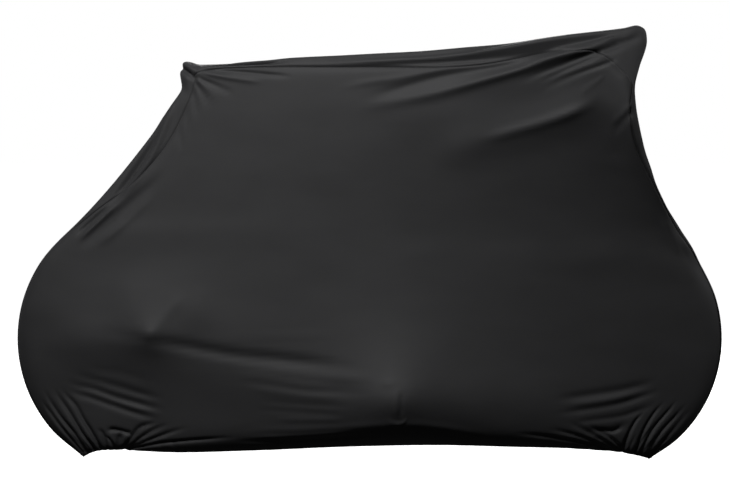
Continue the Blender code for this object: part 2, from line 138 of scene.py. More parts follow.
# Folds as soft ridges (over 0) and troughs (under 0), each along a curve through its points, with
# the rise at its start and at its end.
Fold = namedtuple("Fold", "start end half_width points")
NEAR_FOLDS = {
    # broad turns, where the cloth leans out above and in below
    "rear lean": Fold(16, 14.4, 125, ((-860, 350), (-680, 348), (-514, 352), (-330, 330), (-160, 300))),
    "low lean": Fold(5.9, 5.9, 120, ((-420, 300), (-200, 262), (64, 232), (300, 228), (520, 215))),
    "lower turn, rear": Fold(6, 7, 46, ((-790, 330), (-640, 345), (-514, 352), (-400, 335))),
    "lower turn": Fold(5.2, 5.2, 55, (
        (-420, 300), (-250, 246), (-100, 218), (64, 210), (250, 205), (470, 196), (620, 180),
    )),
    "swell over the rear point": Fold(4, 4, 50, ((-640, 430), (-514, 440), (-330, 410))),
    "under edge": Fold(3, 3, 10, (
        (-330, 112), (-252, 128), (-162, 132), (-67, 140), (50, 151), (121, 150), (192, 138),
        (263, 121), (350, 100),
    )),
    # the rear point and the long level trough in front of it
    "level trough": Fold(-3, -3, 11, (
        (-720, 358), (-673, 360), (-599, 357), (-540, 349), (-500, 342), (-458, 333), (-399, 323),
        (-312, 309), (-221, 300), (-133, 292), (-67, 287), (30, 280),
    )),
    "level trough, deep": Fold(-7, -5, 11, (
        (-560, 352), (-515, 345), (-458, 334), (-399, 323), (-312, 309), (-221, 300), (-133, 293),
        (-40, 286),
    )),
    "under the level trough": Fold(-2, -1.5, 30, (
        (-600, 330), (-480, 312), (-399, 298), (-312, 286), (-221, 276), (-133, 270), (-40, 264),
    )),
    "ridge under the trough": Fold(0.5, 4, 11, ((-300, 274), (-220, 270), (-114, 262), (27, 259))),
    "fine line": Fold(1.2, 1.2, 4, ((-387, 347), (-280, 350), (-161, 358), (-55, 359))),
    "step off the rear point": Fold(2, 2.5, 15, ((-510, 366), (-491, 389), (-463, 421), (-431, 452))),
    "low trough 1": Fold(-1.3, -1.8, 9, ((-340, 252), (-221, 239), (-138, 229), (-55, 226), (30, 225))),
    "low ridge 1": Fold(1.5, 1.5, 7, ((-330, 265), (-268, 258), (-162, 242), (-67, 238))),
    "low ridge 2": Fold(1, 1.5, 7, ((-305, 235), (-252, 227), (-150, 215), (-44, 213))),
    "low trough 2": Fold(-0.9, -1.8, 7, ((-270, 202), (-197, 197), (-103, 194), (-35, 192))),
    "low trough 3": Fold(-0.9, -1.3, 7, ((-280, 180), (-160, 176), (-40, 174))),
    "low ridge 3": Fold(1, 1.5, 6, ((-229, 155), (-174, 157), (-44, 160))),
    "low trough 4": Fold(-3, -4, 7, ((-350, 97), (-281, 101), (-162, 105), (-67, 114), (40, 126))),
    "low ridge 4": Fold(2, 3, 6, ((-310, 108), (-222, 114), (-134, 120), (-15, 134))),
    # where the low point shows through: a short upright edge over a small arc
    "upright edge": Fold(2.5, 3.5, 5, ((65, 246), (64, 230), (64, 210), (65, 190), (66, 168))),
    "edge shadow": Fold(-1, -2, 5, ((78, 236), (77, 212), (76, 186), (74, 170))),
    "small arc": Fold(2.5, 2.5, 4, ((38, 176), (50, 160), (66, 153), (80, 157), (92, 174))),
    "small patch": Fold(2, 2, 8, ((26, 247), (48, 251), (68, 246))),
    # soft folds between the rear round and the rear point
    "rear low 0": Fold(-2, -2, 8, ((-680, 277), (-642, 270), (-593, 264), (-554, 255), (-510, 240))),
    "rear low 1": Fold(-3, -6, 8, (
        (-720, 262), (-688, 253), (-637, 241), (-589, 228), (-541, 214), (-480, 200),
    )),
    "rear low 2": Fold(-5, -7, 8, (
        (-732, 243), (-703, 233), (-652, 222), (-604, 205), (-556, 192), (-480, 173),
    )),
    "rear low 3": Fold(-4, -6, 8, (
        (-738, 228), (-710, 216), (-662, 202), (-614, 186), (-566, 170), (-485, 149),
    )),
    "rear low ridge": Fold(1, 3, 8, ((-712, 222), (-656, 212), (-609, 196), (-561, 181), (-490, 163))),
    # the same in front
    "front low 0": Fold(-4, -6, 9, (
        (430, 203), (496, 209), (550, 215), (598, 221), (646, 230), (695, 243),
    )),
    "front low ridge": Fold(2.4, 3.2, 7, ((460, 189), (523, 194), (580, 202), (660, 222))),
    "front low 1": Fold(-3, -5.4, 7, (
        (430, 168), (497, 175), (550, 181), (599, 189), (647, 203), (705, 221),
    )),
    "front low 2": Fold(-2.4, -4.2, 7, (
        (470, 144), (521, 150), (565, 154), (609, 160), (647, 172), (690, 187),
    )),
    "front low 3": Fold(-3.2, -4.8, 9, ((510, 126), (546, 126), (570, 124), (622, 140))),
    # the elbow: lit above, dark below
    "elbow turn": Fold(6, 15, 42, (
        (120, 775), (235, 806), (304, 826), (396, 852), (480, 884), (560, 920),
    )),
    "elbow crest": Fold(3.4, 11.5, 11, (
        (235, 810), (304, 826), (350, 839), (396, 852), (442, 868), (530, 904),
    )),
    "swell under the top": Fold(2.7, 2.7, 50, ((0, 870), (165, 866), (330, 890))),
    "thumb crease": Fold(3, 2.5, 4, ((606, 900), (590, 886), (572, 868), (552, 850))),
    "beside the thumb crease": Fold(-7, -3, 7, ((610, 892), (596, 874), (578, 850), (562, 826))),
    "dark face": Fold(-2, -2, 24, ((606, 862), (590, 815), (566, 760))),
    # long folds that run up to the front peak, across the seam
    "edge ridge": Fold(5, 13, 6, (
        (-160, 992), (73, 999), (188, 1006), (302, 1022), (416, 1040), (528, 1056), (650, 1072),
    )),
    "edge trough": Fold(-2.8, -12.4, 8.5, (
        (-160, 986), (73, 990), (188, 995), (302, 1003), (415, 1019), (483, 1032), (584, 1055),
        (650, 1066),
    )),
    "peak ridge": Fold(4, 17, 11, (
        (-60, 880), (26, 898), (165, 925), (256, 950), (347, 977), (415, 1002), (471, 1018),
        (527, 1031), (591, 1054), (640, 1066),
    )),
    "peak trough": Fold(-3, -12, 8, (
        (330, 942), (393, 968), (438, 984), (482, 1002), (527, 1018), (591, 1040), (640, 1056),
    )),
    "soft trough": Fold(-4, -9, 11, (
        (-30, 908), (26, 921), (73, 935), (165, 960), (256, 976), (347, 991), (420, 1010),
    )),
    "soft ridge": Fold(2, 3, 8, ((-80, 930), (-20, 945), (73, 958), (165, 976), (256, 987))),
    "thin ridge": Fold(4, 7, 4, ((400, 1014), (426, 1021), (482, 1031), (555, 1047), (590, 1056))),
    "narrow trough 1": Fold(-3, -5, 5, ((380, 944), (416, 959), (460, 979), (509, 999), (540, 1012))),
    "narrow trough 2": Fold(-3, -5, 5, ((390, 928), (421, 943), (483, 968), (549, 992), (575, 1004))),
    "short ridge": Fold(2, 2, 4, ((480, 916), (495, 929), (524, 950), (540, 962))),
    # the fan that leaves the rear peak
    "peak hollow": Fold(-12, -10, 6, ((-452, 990), (-442, 983), (-429, 974), (-412, 962), (-398, 951))),
    "peak crest": Fold(5, 4, 6, ((-446, 1000), (-430, 990), (-413, 980), (-394, 968))),
    "under the peak": Fold(-3, -3, 14, ((-452, 945), (-438, 935), (-424, 922), (-410, 912))),
    "peak fan 1": Fold(-5, -2, 6, ((-424, 978), (-418, 945), (-408, 905), (-396, 860))),
    "peak fan 2": Fold(-5.5, -2, 6, ((-424, 974), (-410, 952), (-390, 925), (-366, 892))),
    "peak fan ridge 2": Fold(3, 1, 5, ((-420, 975), (-402, 955), (-372, 928), (-335, 900))),
    "peak fan 3": Fold(-5.5, -2, 5, ((-415, 976), (-400, 962), (-360, 943), (-305, 918))),
    "peak fan ridge 3": Fold(5, 3, 5, ((-412, 978), (-340, 963), (-240, 948))),
    "peak fan 4": Fold(-6, -4, 5, ((-398, 979), (-330, 976), (-240, 968), (-170, 962))),
    "peak edge trough": Fold(-20, -15, 5.5, (
        (-420, 1003), (-390, 994), (-330, 994), (-260, 996), (-180, 1000),
    )),
    "peak edge ridge": Fold(5, 4, 3.5, ((-412, 988), (-370, 987), (-300, 988), (-200, 990))),
    # folds of the rear and front spans, on both sides of the seam
    "rear span light": Fold(7, 11, 8, (
        (-441, 935), (-454, 908), (-476, 860), (-497, 812), (-521, 764), (-555, 717), (-590, 680),
    )),
    "rear span trough": Fold(-9, -19, 9, (
        (-484, 862), (-512, 810), (-541, 762), (-573, 714), (-606, 670), (-632, 648),
    )),
    "beside the rear seam": Fold(-3, -9, 14, (
        (-470, 752), (-517, 706), (-565, 665), (-613, 623), (-657, 584), (-690, 552),
    )),
    "beside the rear seam, light": Fold(4, 6, 7, (
        (-590, 668), (-621, 641), (-638, 625), (-662, 603), (-692, 572),
    )),
    "under the rear seam": Fold(-5, -9, 7, (
        (-610, 662), (-631, 644), (-650, 627), (-672, 608), (-697, 584),
    )),
    "beside the rear seam, outer": Fold(1, 4, 10, ((-500, 690), (-565, 630), (-601, 599), (-648, 560))),
    "rear seam crease 1": Fold(-2, -2, 5, ((-436, 895), (-428, 866), (-424, 838))),
    "rear seam crease 2": Fold(-2, -2, 5, ((-452, 850), (-442, 815), (-438, 785))),
    "front span ridge 1": Fold(3, 3, 9, ((690, 641), (716, 592), (742, 535))),
    "front span ridge 2": Fold(2, 3, 8, ((743, 585), (765, 548), (786, 510))),
    "front span trough": Fold(-4, -3, 7, ((655, 760), (690, 690), (730, 605), (756, 552))),
}
# Gathers run on past the hem, so they are strongest there.
NEAR_GATHERS = {
    "rear 1": Fold(-3.6, -11.7, 5.3, ((-792, 206), (-763, 164), (-735, 125), (-705, 88), (-675, 45))),
    "rear 2": Fold(-3.6, -14.3, 5.3, (
        (-778, 226), (-767, 203), (-741, 159), (-703, 111), (-685, 82), (-657, 40),
    )),
    "rear 3": Fold(-3.6, -14.3, 5.3, (
        (-756, 228), (-740, 204), (-712, 160), (-684, 112), (-662, 82), (-637, 40),
    )),
    "rear 4": Fold(-3.6, -14.3, 5.3, (
        (-740, 230), (-725, 211), (-701, 185), (-680, 146), (-659, 112), (-645, 83), (-628, 40),
    )),
    "rear fine 1": Fold(-0.5, -7, 3, ((-738, 150), (-708, 106), (-680, 66), (-664, 40))),
    "rear fine 2": Fold(-0.5, -7, 3, ((-712, 140), (-686, 100), (-660, 60), (-647, 40))),
    "rear loop 1": Fold(-4.8, -11.7, 4.5, ((-648, 128), (-636, 118), (-630, 100), (-625, 60))),
    "rear loop 2": Fold(-4.8, -10.4, 4, ((-634, 110), (-622, 104), (-613, 91), (-611, 55))),
    "rear pocket top": Fold(-8.4, -6.6, 5.3, ((-626, 120), (-610, 125), (-590, 122), (-566, 116))),
    "rear pocket": Fold(-9.6, -11, 6.2, ((-590, 122), (-594, 106), (-600, 60))),
    "rear fan 1": Fold(-3.6, -14.3, 5.3, (
        (-490, 148), (-513, 142), (-547, 129), (-562, 109), (-583, 83), (-604, 45),
    )),
    "rear fan 2": Fold(-3.6, -13, 4.8, ((-470, 144), (-503, 130), (-538, 109), (-574, 82), (-606, 50))),
    "rear fan 3": Fold(-3.6, -11.7, 4.4, (
        (-425, 136), (-470, 121), (-519, 102), (-563, 83), (-608, 55),
    )),
    "rear fan 4": Fold(-3.6, -11.7, 4.4, (
        (-300, 112), (-401, 104), (-451, 99), (-500, 93), (-549, 81), (-620, 55),
    )),
    "front 1": Fold(-3.8, -11.4, 4.4, ((662, 172), (640, 150), (622, 118), (613, 92), (609, 40))),
    "front 2": Fold(-2.9, -11.4, 4.4, ((710, 196), (682, 164), (663, 134), (647, 95), (633, 36))),
    "front 3": Fold(-2.9, -11.4, 4.4, ((742, 200), (716, 168), (683, 129), (660, 85), (643, 34))),
    "front 4": Fold(-2.9, -11.4, 4.4, ((768, 192), (741, 162), (698, 114), (673, 69), (653, 28))),
    "front 5": Fold(-2.9, -10.4, 4.4, ((782, 184), (753, 152), (718, 108), (682, 63), (663, 26))),
    "front 6": Fold(-1.9, -8.3, 4.4, ((790, 142), (740, 101), (702, 66), (675, 34))),
    "front fine 1": Fold(-0.5, -7, 3, ((690, 150), (660, 105), (640, 70), (628, 38))),
    "front fine 2": Fold(-0.5, -7, 3, ((715, 140), (682, 98), (656, 60), (645, 32))),
    "front fine 3": Fold(-0.5, -6, 3, ((640, 120), (630, 95), (622, 70), (618, 40))),
    "front fine 4": Fold(-0.5, -6, 3, ((736, 130), (700, 86), (668, 48), (656, 28))),
    "front fan 1": Fold(-4.8, -13, 4.4, ((515, 140), (541, 128), (566, 113), (596, 87), (622, 48))),
    "front fan 2": Fold(-3.6, -13, 4.8, (
        (470, 152), (502, 134), (532, 116), (567, 94), (593, 76), (619, 46),
    )),
    "front fan 3": Fold(-3.6, -11.7, 4.8, (
        (420, 136), (459, 125), (494, 114), (533, 98), (578, 75), (609, 50),
    )),
    "front fan 4": Fold(-3.6, -10.4, 4.8, (
        (340, 124), (407, 116), (455, 107), (514, 93), (564, 76), (594, 56),
    )),
    "front pocket": Fold(-5, -4.6, 4.5, ((540, 126), (558, 126), (580, 122), (600, 128))),
}
FAR_FOLDS = {
    "lower turn, front": Fold(8, 8, 52, ((-560, 330), (-400, 345), (-240, 335), (-80, 300))),
    "lower turn": Fold(8, 8, 55, ((-200, 310), (0, 250), (240, 220), (470, 205), (620, 190))),
    "level trough": Fold(-4, -8, 12, ((-560, 336), (-480, 338), (-380, 332), (-262, 327))),
    "front trough": Fold(-8, -4, 13, ((-215, 318), (-60, 300), (120, 292), (220, 288))),
    "slant trough": Fold(-5, -4, 12, ((-225, 300), (-120, 220), (-30, 140))),
    "rear trough": Fold(-5, -3, 12, ((-262, 300), (-330, 220), (-420, 150))),
    "rising ridge": Fold(4, 3, 14, ((-235, 345), (-215, 480), (-180, 600))),
    "low trough 1": Fold(-3, -4, 9, ((-60, 190), (60, 176), (190, 172))),
    "low ridge 1": Fold(2, 3, 7, ((-80, 206), (60, 192), (210, 188))),
    "low trough 2": Fold(-3, -3, 8, ((20, 148), (130, 140), (240, 142))),
    "rear low 1": Fold(-3, -6, 9, ((-710, 230), (-620, 202), (-530, 176), (-480, 168))),
    "rear low 2": Fold(-4, -6, 8, ((-706, 204), (-610, 170), (-540, 150), (-490, 142))),
    "rear low 3": Fold(-2, -4, 8, ((-700, 262), (-610, 240), (-520, 214))),
    "front low 1": Fold(-4, -7, 9, ((450, 168), (570, 180), (655, 198), (700, 214))),
    "front low 2": Fold(-3, -6, 8, ((490, 136), (590, 146), (650, 166))),
    "front low 3": Fold(-3, -5, 9, ((440, 206), (560, 216), (680, 240))),
    "elbow turn": Fold(5, 14, 42, ((130, 780), (310, 826), (430, 862), (560, 916))),
    "elbow crest": Fold(2, 6, 13, ((250, 816), (350, 836), (500, 888))),
    "swell under the top": Fold(2.7, 2.7, 50, ((0, 870), (165, 866), (330, 890))),
    "elbow shadow": Fold(-2, -7, 15, ((290, 792), (400, 818), (515, 862))),
    "thumb crease": Fold(5, 4, 6, ((606, 900), (566, 858), (530, 822))),
    "beside the thumb crease": Fold(-6, -6, 9, ((602, 876), (575, 842), (540, 800))),
    "edge ridge": Fold(2, 6, 6, ((-120, 994), (120, 1002), (310, 1024), (528, 1055), (640, 1070))),
    "edge trough": Fold(-2, -8, 7, ((-120, 987), (120, 992), (300, 1004), (450, 1026), (584, 1056))),
    "peak ridge": Fold(2, 8, 11, (
        (-40, 886), (165, 928), (347, 976), (480, 1020), (591, 1053), (625, 1063),
    )),
    "peak trough": Fold(-3, -8, 7, ((340, 946), (438, 982), (527, 1016), (625, 1050))),
    "soft trough": Fold(-2, -5, 11, ((-20, 912), (165, 958), (340, 992))),
    "narrow trough": Fold(-3, -4, 5, ((384, 940), (460, 972), (545, 1004))),
    "peak hollow": Fold(-5, -4, 8, ((-446, 990), (-430, 976), (-409, 960), (-396, 945))),
    "peak fan 1": Fold(-5, -2, 6, ((-424, 976), (-396, 918), (-370, 872))),
    "peak fan ridge": Fold(4, 2, 5, ((-420, 975), (-345, 936), (-285, 905))),
    "peak fan 2": Fold(-4, -2, 6, ((-420, 976), (-350, 952), (-270, 928))),
    "peak fan 3": Fold(-3, -1, 5, ((-405, 979), (-325, 968), (-225, 950))),
    "rear span light": Fold(4, 5, 7, ((-440, 968), (-455, 905), (-500, 825), (-590, 717), (-685, 615))),
    "rear span trough": Fold(-5, -6, 6, ((-430, 950), (-465, 846), (-525, 762), (-650, 640))),
    "beside the rear seam": Fold(-3, -6, 8, ((-410, 806), (-540, 700), (-690, 570))),
    "front span ridge": Fold(3, 3, 9, ((688, 650), (718, 596), (748, 530))),
    "front span trough": Fold(-4, -3, 7, ((655, 760), (695, 680), (756, 552))),
}
FAR_GATHERS = {
    "rear 1": Fold(-3.6, -13, 5.3, ((-790, 206), (-734, 124), (-675, 40))),
    "rear 2": Fold(-3.6, -14.3, 5.3, ((-776, 228), (-716, 136), (-650, 40))),
    "rear 3": Fold(-3.6, -14.3, 5.3, ((-742, 226), (-684, 130), (-634, 40))),
    "rear 4": Fold(-3.6, -11.7, 4.4, ((-668, 158), (-632, 112), (-614, 45))),
    "rear pocket": Fold(-8.4, -9.9, 6.2, ((-610, 126), (-596, 112), (-598, 50))),
    "rear fan 1": Fold(-3.6, -13, 5.3, ((-500, 150), (-560, 116), (-602, 45))),
    "rear fan 2": Fold(-3.6, -11.7, 4.8, ((-450, 136), (-535, 104), (-606, 50))),
    "rear fan 3": Fold(-3.6, -10.4, 4.4, ((-340, 114), (-470, 98), (-612, 55))),
    "front 1": Fold(-4.8, -13, 5.3, ((672, 174), (634, 128), (612, 40))),
    "front 2": Fold(-3.6, -14.3, 5.3, ((726, 196), (676, 130), (636, 36))),
    "front 3": Fold(-3.6, -14.3, 5.3, ((760, 194), (704, 120), (654, 30))),
    "front 4": Fold(-3.6, -11.7, 5.3, ((790, 160), (730, 98), (672, 28))),
    "front fan 1": Fold(-3.6, -13, 4.8, ((500, 146), (560, 108), (618, 46))),
    "front fan 2": Fold(-3.6, -11.7, 4.8, ((400, 124), (520, 98), (604, 52))),
    "front pocket": Fold(-8.4, -7.7, 5.3, ((546, 128), (570, 124), (606, 132))),
}
# Long shallow folds on top of the strip, drawn tight between the rear peak and the front peaks.
# Their points are x along the strip and y across it.
TOP_FOLDS = {
    "middle": Fold(3, 4, 22, ((-380, 4), (-100, 10), (250, -6), (560, 8))),
    "near inner": Fold(-2, -5, 16, ((-370, -16), (-50, -44), (280, -84), (600, -120))),
    "near outer": Fold(2, 5, 14, ((-330, -34), (0, -86), (300, -128), (600, -170))),
    "far inner": Fold(-2, -5, 16, ((-370, 20), (-80, 40), (260, 78), (600, 112))),
    "far outer": Fold(2, 5, 14, ((-340, 38), (-10, 82), (310, 132), (600, 176))),
    "near long": Fold(-1, -4, 12, ((-200, -20), (120, -30), (420, -44), (610, -52))),
    "far long": Fold(-1, -4, 12, ((-220, 14), (100, 34), (400, 42), (610, 62))),
}

# ------------------------------------------------------------------------------ finer sizes
# How the cells are spread. The widest step is found by halving.
FIRST_STEP = 1.2  # first cell beside a seam or hem
STEP_GROWTH = 0.12  # growth of the cells for each millimetre away from it
SPREAD_SAMPLES = 8001
SPREAD_HALVINGS = 50
SPREAD_WIDEST = 20  # widest step that is tried, in lengths
# Where the cells stand closer: the middle and half width as a share, and how much closer.
CLOSER_ALONG = ((0.0, 0.11, 1.3), (1.0, 0.11, 1.3), (0.565, 0.015, 1.6))
CLOSER_UP = ((0.0, 0.12, 1.2), (1.0, 0.05, 0.8))
# Places of the columns across half the strip, from seam to side, ridge, quarter and middle.
ACROSS_STEPS = (
    (0.0, 0.06, 0.14, 0.26, 0.42, 0.6, 0.8),
    (0.0, 0.14, 0.28, 0.42, 0.56, 0.7, 0.85),
    (0.0, 0.05, 0.12, 0.22, 0.38, 0.56, 0.78),
    (0.0, 0.2, 0.4, 0.6, 0.8),
)
RIDGE_COLUMN = 14  # column of the near ridge in the strip's grid
LENGTH_COLUMN = 4  # column along which the strip's length is counted
QUARTER_DROP = 0.25  # how far the quarter point lies from the middle down to the ridge
SIDE_SHARE = 0.6  # how near the side point is to the ridge
PULL_LIMIT = 1.5  # longest pull on a curve, in lengths of the run beside it

# How taut cloth settles between its edges
EDGE_WAVES = 40  # how many waves an edge's shape is split into
EDGE_FADE = 15  # finer shapes of an edge die out over about this distance
NARROW_HALF = 30  # half width over which the strip stops counting as narrow,
HELD_HALF = 70  # and over which its seam stops holding the folds
PIN_REACH = 12  # how far a seam holds the cloth beside it
HEM_HOLD = 0.6  # share of a fold that is left at the hem

# Unevenness of the cloth, and where the strip's top has it and its long folds
PANEL_WAVE, PANEL_WAVE_LONG, PANEL_WAVE_HIGH = 0.8, 110, 60
TOP_WAVE, TOP_WAVE_LONG, TOP_WAVE_WIDE, TOP_SEED = 1.6, 150, 38, 21
TOP_FROM_SEAM = 25  # they reach their full height this far from the seam,
TOP_HALF, TOP_HALF_RISE = 40, 60  # from one half width on, over the next,
TOP_FROM_Z = 880  # and the long folds only over this height
NOISE_TABLE = 64  # random values each way, after which the unevenness repeats

# Folds and gathers
FOLD_REACH = 3.0  # how far a fold is felt, in half widths
FOLD_FADE = 0.28  # share of a fold's length over which it rises
GATHER_FADE = 0.04  # the same at the hem end of a gather
CURVE_PIECES = 5  # places on a fold's curve for each of its points
OVER_RIDGE = 26  # how far side folds run on over the strip's ridge,
CARRY_HALF, CARRY_HALF_RISE = 15, 30  # from one half width on, over the next
GATHER_FROM, GATHER_FULL = 380, 560  # where gathering starts and is full, to either end in X
RIPPLE, RIPPLE_SIZE, RIPPLE_REACH = 3.2, 15, 26  # height, size along the hem and reach above it
RIPPLE_LEAST = 0.25  # share of the ripples where the hem isn't gathered

# Seams and hem: a seam lies in a groove with a low welt beside it, and the hem is a puffed
# casing under a line of stitches.
GROOVE_DEPTH, GROOVE_HALF = 4.0, 1.6
GROOVE_SHARE = 0.3  # largest GROOVE_HALF in half widths of the strip
WELT, WELT_AT, WELT_HALF = 0.5, 6.0, 2.6  # height, distance from the seam and half width
LEAST_DISTANCE = 0.35  # least square distance in straight distances
HEM_FROM_SEAM = 9  # the casing is at its full height this far from a seam
STITCH_LINE = 12.0  # height of the hem's stitches
STITCH_GROOVE, STITCH_GROOVE_HALF = 1.5, 1.3
CASING_PUFF, CASING_PUFF_HALF = 0.9, 2.2
HEM_TURN = (55, 115, 180)  # degrees through which the hem turns under,
HEM_RADIUS = 1.4  # round this radius,
HEM_INSIDE = 5.5  # and how far it runs back up inside
HEM_ROWS = 12  # rows of a grid that reach over the stitch line
STITCH_ROW = 5  # row that gives the hem stitches their outward way
PANEL_ENDS, STRIP_ENDS = 3, 4  # points without stitches at each end of a hem
# The threads: how far out they lie, how far they arch, and how far each turns from the line.
SEAM_THREAD_OUT, SEAM_ARCH, SEAM_ZIGZAG = 0.35, -0.2, 0.25  # the last in radians
HEM_THREAD_OUT, HEM_ARCH, HEM_ZIGZAG_DEG = 0.15, 0.35, 38
HEM_STITCH_LENGTH = 1.15  # in stitches of the seam

Cells = namedtuple("Cells", "along up")  # cell counts of a side panel
# Each panel with its CAD node, the strip's column at its seam, its side in Y and its seed.
SidePanel = namedtuple("SidePanel", "piece node column side points folds gathers seed")
PANELS = (
    SidePanel("near_panel_cloth", "near_panel", 0, -1, NEAR_POINTS, NEAR_FOLDS, NEAR_GATHERS, 3),
    SidePanel("far_panel_cloth", "far_panel", -1, 1, FAR_POINTS, FAR_FOLDS, FAR_GATHERS, 11),
)
STRIP_CLOTH = "centre_strip_cloth"

KNIT = "knitted polyester elastane, matt black"
CLOTH_HEX = "#2B2B2C"
SHEEN_HEX = "#8C8C90"
THREAD_HEX = "#1E1E1F"
# a lighter copy of the thread's colour: painted highlight on the crests of its plies
THREAD_HIGHLIGHT_HEX = "#2C2C2E"
FLOOR_HEX = "#F4F4F4"
MIX_FIRST, MIX_SECOND, MIX_RESULT = 6, 7, 2  # a colour mix's sockets; names are shared there
WAVE_UNIT = 0.314  # a wave texture of scale 1 repeats at this many metres
LOOP_WIDTH = 1.5 * MM  # three times the real loops, which are too fine to show
LOOP_HEIGHT = 1.2 * MM
FUZZ_SIZE = 2.5 * MM  # patches of raised fibre ends
MOTTLE_SIZE = 50 * MM  # patches that took more or less of the dye
MOTTLE_STRETCH = (0.35, 1.0, 1.0)  # they are long in X
MOTTLE_SHADES = (0.82, 1.2)  # of the cloth's colour
ROUGHNESS_SPREAD = 0.06  # of the fuzz, to either side
# the painted highlights on the plies' crests come and go over about this size
TWIST_SIZE = 1.2 * MM  # a turn of the thread's plies

# ------------------------------------------------------------------------------------ the stage
PHOTO_WIDTH = 730  # the photograph's width in pixels
PHOTO_MM_PER_PIXEL = 2.40  # at the middle of the cover
SENSOR_WIDTH = 36.0  # millimetres
CAMERA_TARGET = (-8.4, 0.0, 559.2)
CAMERA_DISTANCE = 5000.0
CAMERA_ELEVATION_DEG = 3.0
KEY_PLACE, KEY_SIZE = (-0.55, -1.95, 1.2), 0.6
SIDE_PLACE, SIDE_SIZE = (3.0, 0.2, 1.0), 1.0
BACK_PLACE, BACK_SIZE = (0.4, 3.0, 1.5), 2.0
REAR_PLACE, REAR_SIZE = (-2.6, -0.4, 1.9), 0.8
OVERHEAD_ANGLE_DEG = 70
FLOOR_HALF = 60.0  # metres
FLOOR_GLOW = 1.0  # keeps the floor pale out to the horizon


# ------------------------------------------------------------------------------- curve helpers
def linear(hex_colour):
    """An sRGB hex value as a linear colour with alpha."""
    values = [int(hex_colour[k : k + 2], 16) / 255 for k in (1, 3, 5)]
    colour = [v / 12.92 if v <= 0.04045 else ((v + 0.055) / 1.055) ** 2.4 for v in values]
    return (*colour, 1.0)


def unit(vectors):
    """Vectors at length one."""
    return vectors / np.maximum(np.linalg.norm(vectors, axis=-1, keepdims=True), 1e-12)


def smooth_step(t):
    """A soft rise from 0 to 1."""
    t = np.clip(t, 0.0, 1.0)
    return t * t * (3 - 2 * t)


def running_share(points):
    """How far along a run of points each one lies, from 0 to 1."""
    steps = np.linalg.norm(np.diff(points, axis=0), axis=1)
    return np.concatenate(([0.0], np.cumsum(steps))) / steps.sum()


def hermite(start, end, start_slope, end_slope, t):
    """The cubic between two values with the given slopes."""
    return (
        start * (1 + 2 * t) * (1 - t) ** 2
        + start_slope * t * (1 - t) ** 2
        + end * t**2 * (3 - 2 * t)
        - end_slope * t**2 * (1 - t)
    )


def curve_through(share, rows, at):
    """A smooth cubic through rows that stand at the given shares, read at `at`."""
    slopes = np.gradient(rows, share, axis=0)
    span = np.clip(np.searchsorted(share, at, side="right") - 1, 0, len(share) - 2)
    length = (share[span + 1] - share[span])[:, None]
    t = (at - share[span])[:, None] / length
    return hermite(rows[span], rows[span + 1], slopes[span] * length, slopes[span + 1] * length, t)


def graded(cells, length, closer=()):
    """Shares from 0 to 1 in steps that grow away from both ends, and are closer where told."""
    s = np.linspace(0.0, length, SPREAD_SAMPLES)
    growing = np.minimum(FIRST_STEP + STEP_GROWTH * s, FIRST_STEP + STEP_GROWTH * (length - s))
    times = np.ones(s.shape)
    for centre, half, more in closer:
        times += more * smooth_step(2 - np.abs(s / length - centre) / half)
    low, high = FIRST_STEP, SPREAD_WIDEST * length
    for _ in range(SPREAD_HALVINGS):
        plateau = (low + high) / 2
        step = np.minimum(plateau / times, growing)
        count = np.concatenate(([0.0], np.cumsum(2 * np.diff(s) / (step[1:] + step[:-1]))))
        if count[-1] > cells:
            low = plateau
        else:
            high = plateau
    return np.interp(np.linspace(0.0, count[-1], cells + 1), count, s) / length


def soft_noise(u, v, seed):
    """Smooth unevenness from -1 to 1 over cells of size one."""
    table = np.random.default_rng(seed).uniform(-1, 1, (NOISE_TABLE, NOISE_TABLE))
    u0, v0 = np.floor(u).astype(int), np.floor(v).astype(int)
    du, dv = smooth_step(u - u0), smooth_step(v - v0)

    def value(p, q):
        return table[(u0 + p) % NOISE_TABLE, (v0 + q) % NOISE_TABLE]

    low = value(0, 0) * (1 - du) + value(1, 0) * du
    high = value(0, 1) * (1 - du) + value(1, 1) * du
    return low * (1 - dv) + high * dv


def fold_height(x, z, folds, end_fade=FOLD_FADE):
    """Rise of all folds at each place of the side view. A fold fades out towards both its ends."""
    height = np.zeros(x.shape)
    for fold in folds.values():
        points = np.array(fold.points, float)
        reach = FOLD_REACH * fold.half_width
        low, high = points.min(axis=0) - reach, points.max(axis=0) + reach
        near = (x > low[0]) & (x < high[0]) & (z > low[1]) & (z < high[1])
        if not near.any():
            continue
        at = np.linspace(0.0, 1.0, CURVE_PIECES * len(points))
        points = curve_through(running_share(points), points, at)
        lengths = np.linalg.norm(np.diff(points, axis=0), axis=1)
        px, pz = x[near], z[near]
        best = np.full(px.shape, np.inf)
        share = np.zeros(px.shape)
        for k, length in enumerate(lengths):
            along = (points[k + 1] - points[k]) / length
            dx, dz = px - points[k, 0], pz - points[k, 1]
            run = np.clip(dx * along[0] + dz * along[1], 0, length)
            gap = np.hypot(dx - run * along[0], dz - run * along[1])
            closer = gap < best
            best = np.where(closer, gap, best)
            share = np.where(closer, (lengths[:k].sum() + run) / lengths.sum(), share)
        fade = smooth_step(share / FOLD_FADE) * smooth_step((1 - share) / end_fade)
        rise = fold.start + (fold.end - fold.start) * share
        height[near] += rise * fade * np.exp(-((best / fold.half_width) ** 2))
    return height


